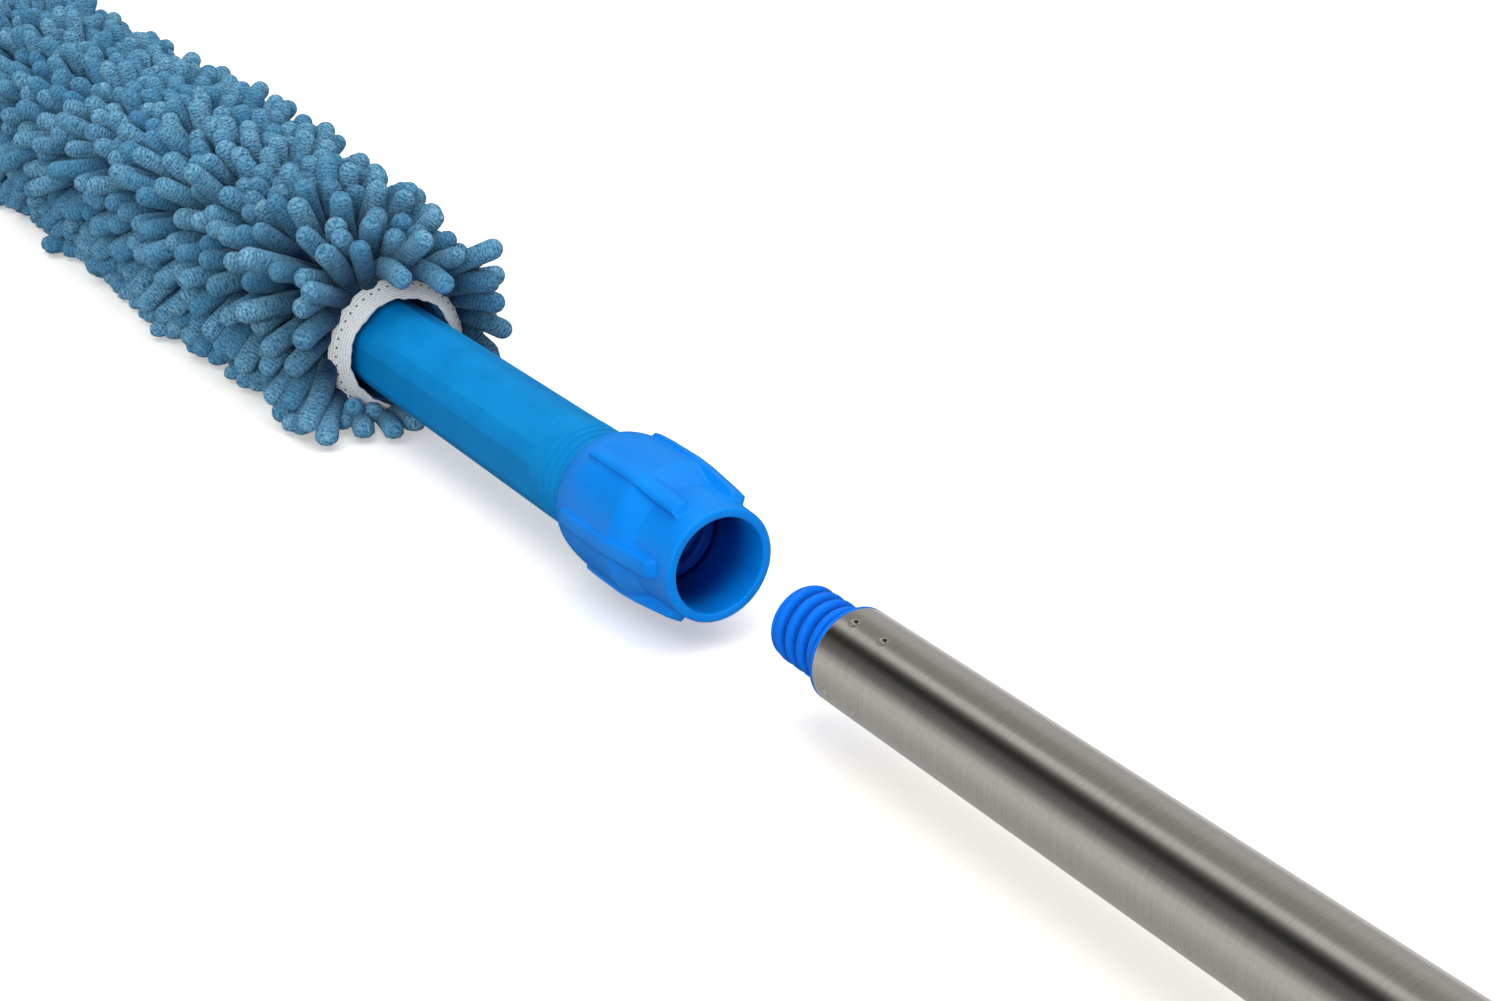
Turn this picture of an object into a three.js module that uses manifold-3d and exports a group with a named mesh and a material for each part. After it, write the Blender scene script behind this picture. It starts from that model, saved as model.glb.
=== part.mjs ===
// Chenille duster with a screw-on telescopic pole, laid out on one axis with the pole unscrewed.
// Millimetres, +Z up. The axis lies along X: the duster head towards -X, the pole towards +X.
// Stations are places along the axis, counted from the mouth of the collar.
// Angles about the axis are in degrees from straight up, towards -Y.

import * as THREE from 'three';
import { mergeVertices } from 'three/addons/utils/BufferGeometryUtils.js';
import Module from 'manifold-3d';

const wasm = await Module();
wasm.setup();

// Whole layout
const axisHeight = 24;
const poleGap = 58;
const seatGap = 0.3;
const cutOverrun = 2;
const roundFacets = 36;
const hiddenFacets = 28;

// Collar: the ribbed union nut
const collarLength = 56;
const socketRadius = 13.4;
const socketDepth = 24;
const rimRadius = 15.7;
const rimRounding = 0.7;
const noseLength = 16;
const noseTaper = 0.6;
const noseBackRadius = 16.9;
const coneLength = 8.5;
const barrelRadius = 20.2;
const shoulderLength = 14;
const backWall = 1.2;
const cavityWall = 2.8;
const backLip = 3.5;
const shoulderSteps = 4;

// Ribs of the collar
const ribCount = 6;
const ribAngle = 28;
const ribWidth = 5.2;
const ribHeight = 1.1;
const ribFrontHeight = 1.9;
const ribBackInset = 8;
const ribFrontInset = 5.5;
const ribEndRun = 2.6;
const ribTurnRun = 5.5;
const ribSink = 0.8;
const ribBevel = 0.45;

// Threaded insert inside the collar
const insertLength = 20;
const keyCount = 3;
const keyWidth = 4;
const keyLength = 8;
const keyHeight = 0.9;

// Fluted handle
const handleRadius = 15.5;
const handleWall = 3.1;
const handleInCover = 36;
const handleRounding = 1.2;
const grooveCount = 3;
const groovePitch = 3.4;
const grooveSetback = 5.6;
const grooveWidth = 0.9;
const grooveDepth = 0.5;
const fluteCount = 6;
const fluteAngle = 33;
const fluteSpread = 36;
const fluteSetback = 7;
const fluteCorner = 3;

// Clip and washer that hold the collar on the handle
const washerThickness = 1.5;
const clipThickness = 1.6;
const clipReach = 1.4;
const clipDepth = 1.1;
const clipOpening = 7;

// Wand inside the duster head
const stemRadius = 4;
const stemSocketLength = 44;
const stemOverlap = 38;
const pinRadius = 1.8;
const pinSetback = 23;
const coreRadius = 17.4;
const capLength = 10;
const capDome = 14;
const capFloor = 8;
const domeSteps = 4;

// Chenille cover
const coverMouth = 190;
const coverLength = 480;
const coverClearance = 0.8;
const sleeveWall = 3.2;
const bandLength = 7;
const bandFlare = 2.5;
const bandLip = 1.2;
const sliceCount = 4;
const fingerLength = 29;
const fingerBase = 3.2;
const fingerTip = 4.8;
const fingerSink = 0.8;
const fingerSides = 4;
const fingerGap = 3.9;
const rowGap = 8.5;
const mouthMargin = 1;
const fingerLean = 9;
const mouthLean = 26;
const lengthPlay = 2.5;
const leanRate = 2.4;
const lengthRate = 1.7;
const endTurn = 45;
const footCut = 0.5;

// Pole tip: the moulded screw end
const poleRadius = 12.5;
const poleWall = 1;
const tipLength = 21.5;
const tipRadius = 10.2;
const tipNeck = 2.6;
const tipNeckDepth = 1.3;
const tipNose = 1.8;
const lipThickness = 1;
const tipPlugLength = 32;
const tipWall = 3;
const dimpleCount = 4;
const dimpleAngle = 18;
const dimpleSetback = 4.5;
const dimplePitch = 11;
const dimpleRadius = 1.3;
const dimpleDepth = 0.6;
const dimpleFacets = 8;

// Pole tubes
const outerTubeLength = 560;
const innerRadius = 11;
const innerWall = 0.8;
const plugHeadGap = 2;
const plugHead = 6;
const plugSpigot = 20;
const brakeRingWidth = 2.4;
const brakeRingDepth = 1.5;

// Twist lock
const colletSleeve = 26;
const colletSleeveWall = 2.2;
const colletFlange = 8;
const colletFlangeWall = 2;
const colletJaw = 18;
const jawRootWall = 2.6;
const jawTipWall = 1.5;
const jawSlits = 4;
const slitWidth = 1.4;
const nutWall = 1.9;
const nutFace = 5;
const nutRibs = 12;
const nutRibHeight = 0.7;
const nutRibWidth = 2.2;
const nutRibInset = 3;

// Hand grip and end cap
const gripGap = 8;
const gripLength = 110;
const gripRadius = 15;
const gripBands = 3;
const gripBandPitch = 4.5;
const gripBandSetback = 8;
const gripBandDepth = 0.6;
const gripBandWidth = 1.4;
const gripRounding = 1.5;
const capPlugLength = 18;
const capDisc = 4;
const lugLength = 25;
const lugThickness = 6;
const lugRadius = 11.5;
const hangRadius = 4.5;
const lugFacets = 8;

// Stations worked out from the sizes above
const collarBack = -collarLength;
const coneFront = -noseLength;
const coneBack = coneFront - coneLength;
const cavityFront = -socketDepth;
const cavityBack = collarBack + backLip;
const cavityRadius = barrelRadius - cavityWall;
const collarHole = handleRadius + seatGap;
const insertFront = cavityFront - seatGap;
const insertBack = insertFront - insertLength;
const insertBore = tipRadius + seatGap;
const washerFront = insertBack - seatGap;
const handleFront = washerFront - washerThickness - seatGap;
const handleBore = handleRadius - handleWall;
const handleEnd = coverMouth + handleInCover;
const clipBack = cavityBack + seatGap;
const clipFront = clipBack + clipThickness;
const lastGroove = collarBack - grooveSetback - (grooveCount - 1) * groovePitch;
const fluteFront = lastGroove - fluteSetback;
const stemSocketBack = -handleEnd + handleRounding;
const stemSocketFront = stemSocketBack + stemSocketLength;
const stemFront = stemSocketBack + stemOverlap;
const pinStation = -handleEnd + pinSetback;
const coreFront = -handleEnd - seatGap;
const sleeveEnd = -coverMouth - coverLength;
const sleeveRadius = coreRadius + coverClearance + sleeveWall;
const innerDomeEnd = sleeveEnd + sleeveWall;
const capTip = innerDomeEnd + coverClearance;
const capShoulder = capTip + capDome;
const capFront = capShoulder + capLength;
const coreBack = capFront + seatGap;
const stemBack = capFront - capFloor;
const sleeveFront = -coverMouth - bandLength - seatGap;
const poleBore = poleRadius - poleWall;
const tubeStart = poleGap;
const tubeEnd = tubeStart + outerTubeLength;
const plugFront = tubeStart + tipPlugLength + plugHeadGap;
const innerStart = plugFront + plugHead;
const innerBore = innerRadius - innerWall;
const colletRadius = poleRadius + seatGap + colletSleeveWall;
const colletFront = tubeEnd - colletSleeve;
const jawStart = tubeEnd + seatGap;
const jawEnd = jawStart + colletJaw;
const nutFront = colletFront + colletFlange + seatGap;
const nutBack = jawEnd + seatGap + nutFace;
const nutBore = colletRadius + seatGap;
const gripFront = nutBack + gripGap;
const gripBack = gripFront + gripLength;
const endFace = gripBack + seatGap;
const discBack = endFace + capDisc;
const lugTip = discBack + lugLength;
const headTip = sleeveEnd - fingerLength;

// Materials
const finish = (color, roughness, metalness) =>
  new THREE.MeshStandardMaterial({ color, roughness, metalness });
const collarBlue = finish(0x1478e6, 0.32, 0);
const handleBlue = finish(0x1b83cc, 0.55, 0);
const tipBlue = finish(0x166fe4, 0.4, 0);
const chenilleBlue = finish(0x4f8cba, 0.95, 0);
const elasticWhite = finish(0xc3c6cb, 0.9, 0);
const tubeSteel = finish(0x9a968f, 0.34, 1);
const wireSteel = finish(0x8a8d90, 0.4, 1);
const foamGrey = finish(0x6d7680, 0.9, 0);
const nylonWhite = finish(0xd9dcdc, 0.5, 0);
const ringRubber = finish(0x24262a, 0.8, 0);

// Solids from geometries and back

function toSolid(geometry) {
  const bare = geometry.clone();
  for (const name of Object.keys(bare.attributes)) {
    if (name !== 'position') bare.deleteAttribute(name);
  }
  const merged = mergeVertices(bare, seatGap / 1e4);
  const corners = merged.index.array;
  const kept = [];
  for (let i = 0; i < corners.length; i += 3) {
    const [a, b, c] = [corners[i], corners[i + 1], corners[i + 2]];
    if (a !== b && b !== c && c !== a) kept.push(a, b, c);
  }
  return new wasm.Manifold(new wasm.Mesh({
    numProp: 3,
    vertProperties: new Float32Array(merged.attributes.position.array),
    triVerts: new Uint32Array(kept),
  }));
}

function toGeometry(solid) {
  const mesh = solid.getMesh();
  const geometry = new THREE.BufferGeometry();
  const points = [];
  for (let i = 0; i < mesh.vertProperties.length; i += mesh.numProp) {
    points.push(...mesh.vertProperties.slice(i, i + 3));
  }
  geometry.setAttribute('position', new THREE.Float32BufferAttribute(points, 3));
  geometry.setIndex(Array.from(mesh.triVerts));
  geometry.computeVertexNormals();
  return geometry;
}

function cut(solid, tools) {
  return tools.reduce((rest, tool) => rest.subtract(toSolid(tool)), solid);
}

function join(solid, additions) {
  return wasm.Manifold.union([solid, ...additions.map(toSolid)]);
}

// Revolved shape about the axis. The profile is a list of [station, radius], outer surface
// first in order of rising station, and it closes on itself or on the axis.
function revolveGeometry(profile, facets) {
  const points = profile.map(([station, radius]) => new THREE.Vector2(radius, station));
  const onAxis = profile[0][1] === 0 && profile[profile.length - 1][1] === 0;
  if (!onAxis) points.push(points[0].clone());
  return new THREE.LatheGeometry(points, facets).rotateZ(-Math.PI / 2);
}

const revolve = (profile, facets) => toSolid(revolveGeometry(profile, facets));

const tube = (back, front, inner, outer, facets) =>
  revolve([[back, outer], [front, outer], [front, inner], [back, inner]], facets);

// Turns a geometry made on top of the axis to its angle round it
const turned = (geometry, degrees) =>
  geometry.clone().rotateX(THREE.MathUtils.degToRad(degrees));

const aroundAxis = (geometry, count, start) =>
  Array.from({ length: count }, (_, i) => turned(geometry, start + (i * 360) / count));

// Side view outline in [station, height], made into a plate centred on the axis plane
function sidePlate(outline, width, bevel = 0) {
  const shape = new THREE.Shape(outline.map(([x, y]) => new THREE.Vector2(x, y)));
  const plate = new THREE.ExtrudeGeometry(shape, {
    depth: width - 2 * bevel,
    bevelEnabled: bevel > 0,
    bevelThickness: bevel,
    bevelSize: bevel,
    bevelOffset: -bevel,
    bevelSegments: 1,
  });
  return plate.rotateX(Math.PI / 2).translate(0, width / 2 - bevel, 0);
}

// Quarter of an ellipse from a point that stands square to the axis to one that lies along it
function quarterArc([fromX, fromR], [toX, toR], steps) {
  return Array.from({ length: steps + 1 }, (_, i) => {
    const turn = (i / steps) * (Math.PI / 2);
    return [toX + (fromX - toX) * Math.cos(turn), fromR + (toR - fromR) * Math.sin(turn)];
  });
}

// Fine line pressed round a revolved surface
const lineProfile = (centre, width, depth, radius) => [
  [centre - width / 2, radius], [centre, radius - depth], [centre + width / 2, radius],
];

// Square groove that runs round a revolved surface
function grooveProfile(centre, width, depth, radius) {
  const half = width / 2;
  return [
    [centre - half, radius], [centre - half, radius - depth],
    [centre + half, radius - depth], [centre + half, radius],
  ];
}

// Collar

const shoulderFoot = [collarBack, collarHole + backWall];
const shoulderTop = [collarBack + shoulderLength, barrelRadius];

function collarOuterRadius(station) {
  const [topX, topR] = shoulderTop;
  const [footX, footR] = shoulderFoot;
  const share = Math.min(Math.max((topX - station) / (topX - footX), 0), 1);
  return footR + (topR - footR) * Math.sqrt(1 - share * share);
}

function collarShell() {
  return revolve([
    ...quarterArc(shoulderFoot, shoulderTop, shoulderSteps),
    [coneBack, barrelRadius],
    [coneFront, noseBackRadius],
    [-rimRounding, noseBackRadius - noseTaper],
    [0, rimRadius],
    [0, socketRadius + rimRounding],
    [-rimRounding, socketRadius],
    [cavityFront, socketRadius],
    [cavityFront, cavityRadius],
    [cavityBack, cavityRadius],
    [cavityBack, collarHole],
    [collarBack, collarHole],
  ], roundFacets);
}

function ribOutline() {
  const back = collarBack + ribBackInset;
  const front = -ribFrontInset;
  const noseTop = noseBackRadius - noseTaper;
  const top = barrelRadius + ribHeight;
  return [
    [back, collarOuterRadius(back) - ribSink],
    [shoulderTop[0], barrelRadius - ribSink],
    [coneBack, barrelRadius - ribSink],
    [coneFront, noseBackRadius - ribSink],
    [front, noseTop - ribSink],
    [front, noseTop + ribSink],
    [front - ribEndRun, noseTop + ribFrontHeight],
    [coneBack, top - ribHeight / 2],
    [coneBack - ribTurnRun, top],
    [back + ribEndRun, top],
    [back, collarOuterRadius(back) + ribSink / 2],
  ];
}

function keyBox(clearance) {
  const length = keyLength + clearance;
  const top = cavityRadius - seatGap + keyHeight + clearance;
  const bottom = insertBore + keyWidth / 2;
  return new THREE.BoxGeometry(length, keyWidth + 2 * clearance, top - bottom)
    .translate(insertFront - keyLength / 2 + clearance / 2, 0, (top + bottom) / 2);
}

function collar() {
  const ribs = aroundAxis(sidePlate(ribOutline(), ribWidth, ribBevel), ribCount, ribAngle);
  const keyways = aroundAxis(keyBox(seatGap), keyCount, ribAngle);
  const keywayRing = tube(
    insertFront - keyLength - seatGap, cavityFront,
    cavityRadius - cutOverrun, cavityRadius + keyHeight, hiddenFacets);
  const keywayCuts = wasm.Manifold.union(keyways.map(toSolid)).intersect(keywayRing);
  return join(collarShell(), ribs).subtract(keywayCuts);
}

function threadInsert() {
  const body = tube(insertBack, insertFront, insertBore, cavityRadius - seatGap, hiddenFacets);
  const keys = aroundAxis(keyBox(0), keyCount, ribAngle);
  const keyRing = tube(
    insertFront - keyLength, insertFront,
    insertBore + seatGap, cavityRadius + keyHeight - seatGap, hiddenFacets);
  const trimmed = wasm.Manifold.union(keys.map(toSolid)).intersect(keyRing);
  return body.add(trimmed);
}

// Handle

function handleProfile() {
  const grooves = Array.from({ length: grooveCount }, (_, i) => {
    const centre = collarBack - grooveSetback - (grooveCount - 1 - i) * groovePitch;
    return lineProfile(centre, grooveWidth, grooveDepth, handleRadius);
  }).flat();
  const clipGroove = grooveProfile(
    (clipBack + clipFront) / 2, clipThickness + 2 * seatGap, clipDepth + seatGap, handleRadius);
  return [
    [-handleEnd, handleRadius - handleRounding],
    [-handleEnd + handleRounding, handleRadius],
    ...grooves,
    ...clipGroove,
    [handleFront, handleRadius],
    [handleFront, handleBore],
    [-handleEnd, handleBore],
  ];
}

// Cutter of one flat flute, with round corners where it ends before the grooves
function fluteCutter() {
  const spread = THREE.MathUtils.degToRad(fluteSpread / 2);
  const half = handleRadius * Math.sin(spread);
  const floor = handleRadius * Math.cos(spread);
  const back = -handleEnd - cutOverrun;
  const corner = Math.min(fluteCorner, half);
  const outline = new THREE.Shape();
  outline.moveTo(back, -half);
  outline.lineTo(fluteFront - corner, -half);
  outline.absarc(fluteFront - corner, -half + corner, corner, -Math.PI / 2, 0);
  outline.absarc(fluteFront - corner, half - corner, corner, 0, Math.PI / 2);
  outline.lineTo(back, half);
  return new THREE.ExtrudeGeometry(outline, {
    depth: handleRadius - floor + cutOverrun, bevelEnabled: false, curveSegments: 4,
  }).translate(0, 0, floor);
}

const pinHole = (radius, length) => new THREE.CylinderGeometry(radius, radius, length, 16)
  .translate(pinStation, 0, 0);

function gripShell() {
  const flutes = aroundAxis(fluteCutter(), fluteCount, fluteAngle);
  const crossHole = pinHole(pinRadius + seatGap, 2 * (handleRadius + cutOverrun));
  return cut(revolve(handleProfile(), roundFacets), [...flutes, crossHole]);
}

function retainingClip() {
  const ring = tube(
    clipBack, clipFront, handleRadius - clipDepth, handleRadius + clipReach, hiddenFacets);
  const opening = new THREE.BoxGeometry(
    clipThickness + 2 * cutOverrun, clipOpening, cavityRadius + cutOverrun)
    .translate((clipBack + clipFront) / 2, 0, (cavityRadius + cutOverrun) / 2);
  return cut(ring, [opening]);
}

const thrustWasher = () => tube(
  washerFront - washerThickness, washerFront,
  tipRadius + 2 * seatGap, handleRadius, hiddenFacets);

// Wand

const stemBore = stemRadius + seatGap;

const stemSocket = () => cut(
  tube(stemSocketBack, stemSocketFront, stemBore, handleBore - seatGap, hiddenFacets),
  [pinHole(pinRadius + seatGap, 2 * handleRadius)]);

const wandStem = () => cut(
  revolve([[stemBack, 0], [stemBack, stemRadius], [stemFront, stemRadius], [stemFront, 0]],
    hiddenFacets),
  [pinHole(pinRadius + seatGap, 2 * handleRadius)]);

const stemPin = () => toSolid(pinHole(pinRadius, 2 * (handleRadius - grooveDepth - seatGap)));

const foamCore = () => tube(coreBack, coreFront, stemBore, coreRadius, hiddenFacets);

function coreCap() {
  return revolve([
    [capTip, 0],
    ...quarterArc([capTip, 0], [capShoulder, coreRadius], domeSteps).slice(1),
    [capFront, coreRadius],
    [capFront, stemBore],
    [stemBack - seatGap, stemBore],
    [stemBack - seatGap, 0],
  ], hiddenFacets);
}

// Cover

const sleeveInner = sleeveRadius - sleeveWall;
const fingersRound = Math.floor((2 * Math.PI * sleeveRadius) / (2 * fingerBase + fingerGap));
const sleeveFacets = 2 * fingersRound;
const domeBase = capShoulder;
const domeLength = domeBase - sleeveEnd;
const sliceLength = (sleeveFront - domeBase - (sliceCount - 1) * seatGap) / sliceCount;
const rowsInSlice = Math.floor(sliceLength / (2 * fingerTip + rowGap));

// The elastic edge stands out from the sleeve and draws in towards the handle,
// just wide enough to pass over the core when the cover comes off
function elasticBand() {
  const front = -coverMouth;
  const back = front - bandLength;
  const drawn = coreRadius + seatGap;
  const flared = sleeveRadius + bandFlare;
  return revolve([
    [back, flared - bandLip],
    [back + bandLip, flared],
    [front - bandLip, drawn + 2 * bandLip],
    [front, drawn + bandLip],
    [front - bandLip, drawn],
    [back, sleeveInner],
  ], hiddenFacets);
}

// How long a finger from this height may be before its lowest corner goes under the floor
function reachToFloor(height, down, halfWidth) {
  if (down <= 0) return Infinity;
  const slant = Math.sqrt(1 - down * down);
  return (height + footCut - halfWidth * slant) / down;
}

// One chenille finger: a four-sided strand that widens outwards from its root on the sleeve.
// One that meets the floor stops there.
function finger({ station, angle, lean, root, length }) {
  const around = THREE.MathUtils.degToRad(angle);
  const along = THREE.MathUtils.degToRad(lean);
  const outward = new THREE.Vector3(0, -Math.sin(around), Math.cos(around));
  const axis = new THREE.Vector3(1, 0, 0);
  const way = outward.clone().multiplyScalar(Math.cos(along)).addScaledVector(axis, Math.sin(along));
  const side = axis.clone().multiplyScalar(Math.cos(along)).addScaledVector(outward, -Math.sin(along));
  const start = outward.clone().multiplyScalar(root).addScaledVector(axis, station);
  const halfWidth = fingerTip * Math.cos(Math.PI / fingerSides);
  const reach = reachToFloor(start.z + axisHeight, -way.z, halfWidth);
  const tall = Math.min(reach, length) + fingerSink;
  const profile = [[0, 0], [fingerBase, 0], [fingerTip, tall], [0, tall]]
    .map(([x, y]) => new THREE.Vector2(x, y));
  const frame = new THREE.Matrix4().makeBasis(side, way, side.clone().cross(way));
  frame.setPosition(start.addScaledVector(way, -fingerSink));
  return new THREE.LatheGeometry(profile, fingerSides)
    .rotateY(Math.PI / fingerSides).applyMatrix4(frame);
}

// Even but irregular play between -1 and 1 for the finger of this number
const play = (number, rate) => Math.sin(number * rate);

function fingerRows(front, length, sliceNumber) {
  const atMouth = sliceNumber === 0;
  const firstRow = front - fingerBase - mouthMargin;
  const pitch = (length - 2 * (fingerBase + mouthMargin)) / Math.max(rowsInSlice - 1, 1);
  const fingers = [];
  for (let row = 0; row < rowsInSlice; row += 1) {
    for (let i = 0; i < fingersRound; i += 1) {
      const number = (sliceNumber * rowsInSlice + row) * fingersRound + i + 1;
      const mouthRow = atMouth && row === 0;
      const edgeRow = row === 0 || row === rowsInSlice - 1;
      const freeLean = edgeRow ? 0 : fingerLean * play(number, leanRate);
      fingers.push(finger({
        station: firstRow - row * pitch,
        angle: ((i + (row % 2) / 2) * 360) / fingersRound,
        lean: mouthRow ? mouthLean : freeLean,
        root: sleeveRadius,
        length: fingerLength + lengthPlay * play(number, lengthRate),
      }));
    }
  }
  return fingers;
}

// Fingers of the closed end: one on the axis and a ring round it, square to the dome
function endFingers() {
  const turn = THREE.MathUtils.degToRad(endTurn);
  const slope = Math.atan2(sleeveRadius * Math.sin(turn), domeLength * Math.cos(turn));
  const ring = Math.floor(fingersRound / 2);
  const ringFingers = Array.from({ length: ring }, (_, i) => finger({
    station: domeBase - domeLength * Math.sin(turn),
    angle: ((i + 0.5) * 360) / ring,
    lean: -THREE.MathUtils.radToDeg(slope),
    root: sleeveRadius * Math.cos(turn),
    length: fingerLength,
  }));
  const tip = finger({ station: sleeveEnd, angle: 0, lean: -90, root: 0, length: fingerLength });
  return [tip, ...ringFingers];
}

function floorBlock() {
  const length = coverLength + 2 * bandLength + 4 * fingerLength;
  const width = 2 * (sleeveRadius + 2 * fingerLength);
  return new THREE.BoxGeometry(length, width, axisHeight)
    .translate(-coverMouth - coverLength / 2, 0, -axisHeight * 1.5);
}

function chenilleSlice(sliceNumber) {
  const front = sleeveFront - sliceNumber * (sliceLength + seatGap);
  const last = sliceNumber === sliceCount - 1;
  const profile = last
    ? [
      [sleeveEnd, 0],
      ...quarterArc([sleeveEnd, 0], [domeBase, sleeveRadius], domeSteps).slice(1),
      [front, sleeveRadius],
      [front, sleeveInner],
      ...quarterArc([innerDomeEnd, 0], [domeBase, sleeveInner], domeSteps).reverse(),
    ]
    : [
      [front - sliceLength, sleeveRadius], [front, sleeveRadius],
      [front, sleeveInner], [front - sliceLength, sleeveInner],
    ];
  const sleeve = toSolid(turned(revolveGeometry(profile, sleeveFacets), 180 / sleeveFacets));
  const fingers = fingerRows(front, sliceLength, sliceNumber);
  if (last) fingers.push(...endFingers());
  return cut(join(sleeve, fingers), [floorBlock()]);
}

// Pole

function threadTip() {
  const tipEnd = tubeStart - tipLength;
  const lip = tubeStart - lipThickness;
  const plug = poleBore - seatGap;
  const plugEnd = tubeStart + tipPlugLength;
  return revolve([
    [tipEnd, 0],
    [tipEnd, tipRadius - tipNose],
    [tipEnd + tipNose, tipRadius],
    [lip - tipNeck, tipRadius],
    [lip - tipNeck / 2, tipRadius - tipNeckDepth],
    [lip, tipRadius - tipNeckDepth],
    [lip, poleRadius],
    [tubeStart - seatGap, poleRadius],
    [tubeStart - seatGap, plug],
    [plugEnd, plug],
    [plugEnd, plug - tipWall],
    [tubeStart, plug - tipWall],
    [tubeStart, 0],
  ], hiddenFacets);
}

function outerTube() {
  const dimple = new THREE.SphereGeometry(dimpleRadius, dimpleFacets, dimpleFacets / 2)
    .translate(0, 0, poleRadius + dimpleRadius - dimpleDepth);
  const dents = [0, dimplePitch].flatMap((step) => aroundAxis(
    dimple.clone().translate(tubeStart + dimpleSetback + step, 0, 0), dimpleCount, dimpleAngle));
  return cut(tube(tubeStart, tubeEnd, poleBore, poleRadius, roundFacets), dents);
}

function lockCollet() {
  const jawBore = innerRadius + seatGap;
  const body = revolve([
    [colletFront, colletRadius + colletFlangeWall],
    [colletFront + colletFlange, colletRadius + colletFlangeWall],
    [colletFront + colletFlange, colletRadius],
    [jawStart, colletRadius],
    [jawStart + colletSleeveWall, jawBore + jawRootWall],
    [jawEnd, jawBore + jawTipWall],
    [jawEnd, jawBore],
    [jawStart, jawBore],
    [jawStart, poleRadius + seatGap],
    [colletFront, poleRadius + seatGap],
  ], hiddenFacets);
  const slit = new THREE.BoxGeometry(colletJaw, slitWidth, colletRadius)
    .translate(jawEnd - colletJaw / 2 + colletSleeveWall + slitWidth, 0, colletRadius / 2);
  return cut(body, aroundAxis(slit, jawSlits, 0));
}

function lockNut() {
  const radius = nutBore + nutWall;
  const jawBore = innerRadius + seatGap;
  const body = revolve([
    [nutFront, radius],
    [nutBack - nutWall, radius],
    [nutBack, radius - nutWall],
    [nutBack, jawBore],
    [jawEnd + seatGap, jawBore],
    [jawEnd + seatGap, jawBore + jawTipWall + seatGap],
    [jawStart + colletSleeveWall, jawBore + jawRootWall + 2 * seatGap],
    [jawStart + colletSleeveWall, nutBore],
    [nutFront, nutBore],
  ], hiddenFacets);
  const ribFront = nutFront + nutRibInset;
  const ribBack = nutBack - nutWall - nutRibInset;
  const rib = sidePlate([
    [ribFront, radius - nutRibHeight], [ribBack, radius - nutRibHeight],
    [ribBack - nutRibHeight, radius + nutRibHeight],
    [ribFront + nutRibHeight, radius + nutRibHeight],
  ], nutRibWidth);
  return join(body, aroundAxis(rib, nutRibs, 0));
}

const innerTube = () => tube(innerStart, gripBack, innerBore, innerRadius, hiddenFacets);

function innerPlug() {
  const head = poleBore - seatGap;
  const middle = (plugFront + innerStart) / 2;
  const spigotEnd = innerStart + plugSpigot;
  return revolve([
    [plugFront, 0],
    [plugFront, head],
    ...grooveProfile(middle, brakeRingWidth + 2 * seatGap, brakeRingDepth + seatGap, head),
    [innerStart - seatGap, head],
    [innerStart - seatGap, innerBore - seatGap],
    [spigotEnd, innerBore - seatGap],
    [spigotEnd, 0],
  ], hiddenFacets);
}

function brakeRing() {
  const head = poleBore - seatGap;
  const middle = (plugFront + innerStart) / 2;
  return tube(
    middle - brakeRingWidth / 2, middle + brakeRingWidth / 2,
    head - brakeRingDepth, head, hiddenFacets);
}

function handGrip() {
  const bands = Array.from({ length: gripBands }, (_, i) => grooveProfile(
    gripFront + gripBandSetback + i * gripBandPitch, gripBandWidth, gripBandDepth, gripRadius));
  return revolve([
    [gripFront, gripRadius - gripRounding],
    [gripFront + gripRounding, gripRadius],
    ...bands.flat(),
    [gripBack, gripRadius],
    [gripBack, innerRadius + seatGap],
    [gripFront, innerRadius + seatGap],
  ], hiddenFacets);
}

function lugPlate() {
  const outline = new THREE.Shape();
  outline.moveTo(endFace + capDisc / 2, -lugRadius);
  outline.lineTo(lugTip - lugRadius, -lugRadius);
  outline.absarc(lugTip - lugRadius, 0, lugRadius, -Math.PI / 2, Math.PI / 2);
  outline.lineTo(endFace + capDisc / 2, lugRadius);
  const hole = new THREE.Path();
  hole.absarc(lugTip - lugRadius, 0, hangRadius, 0, 2 * Math.PI);
  outline.holes.push(hole);
  return new THREE.ExtrudeGeometry(outline, {
    depth: lugThickness, bevelEnabled: false, curveSegments: lugFacets,
  }).rotateX(Math.PI / 2).translate(0, lugThickness / 2, 0);
}

function endCap() {
  const plug = innerBore - seatGap;
  const body = revolve([
    [endFace - capPlugLength, 0],
    [endFace - capPlugLength, plug],
    [endFace, plug],
    [endFace, gripRadius],
    [discBack - gripRounding, gripRadius],
    [discBack, gripRadius - gripRounding],
    [discBack, 0],
  ], hiddenFacets);
  return join(body, [lugPlate()]);
}

// Assembly

const onAxis = new THREE.Group();

function place(name, solid, material) {
  const mesh = new THREE.Mesh(toGeometry(solid), material);
  mesh.name = name;
  onAxis.add(mesh);
}

place('grip_shell', gripShell(), handleBlue);
place('retaining_clip', retainingClip(), wireSteel);
place('thrust_washer', thrustWasher(), nylonWhite);
place('stem_socket', stemSocket(), nylonWhite);
place('stem_pin', stemPin(), wireSteel);
place('wand_stem', wandStem(), nylonWhite);
place('foam_core', foamCore(), foamGrey);
place('core_cap', coreCap(), nylonWhite);

place('collar', collar(), collarBlue);
place('thread_insert', threadInsert(), collarBlue);

place('elastic_band', elasticBand(), elasticWhite);
for (let number = 0; number < sliceCount; number += 1) {
  place(`chenille_${number + 1}`, chenilleSlice(number), chenilleBlue);
}

place('thread_tip', threadTip(), tipBlue);
place('outer_tube', outerTube(), tubeSteel);
place('lock_collet', lockCollet(), tipBlue);
place('lock_nut', lockNut(), collarBlue);

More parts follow.
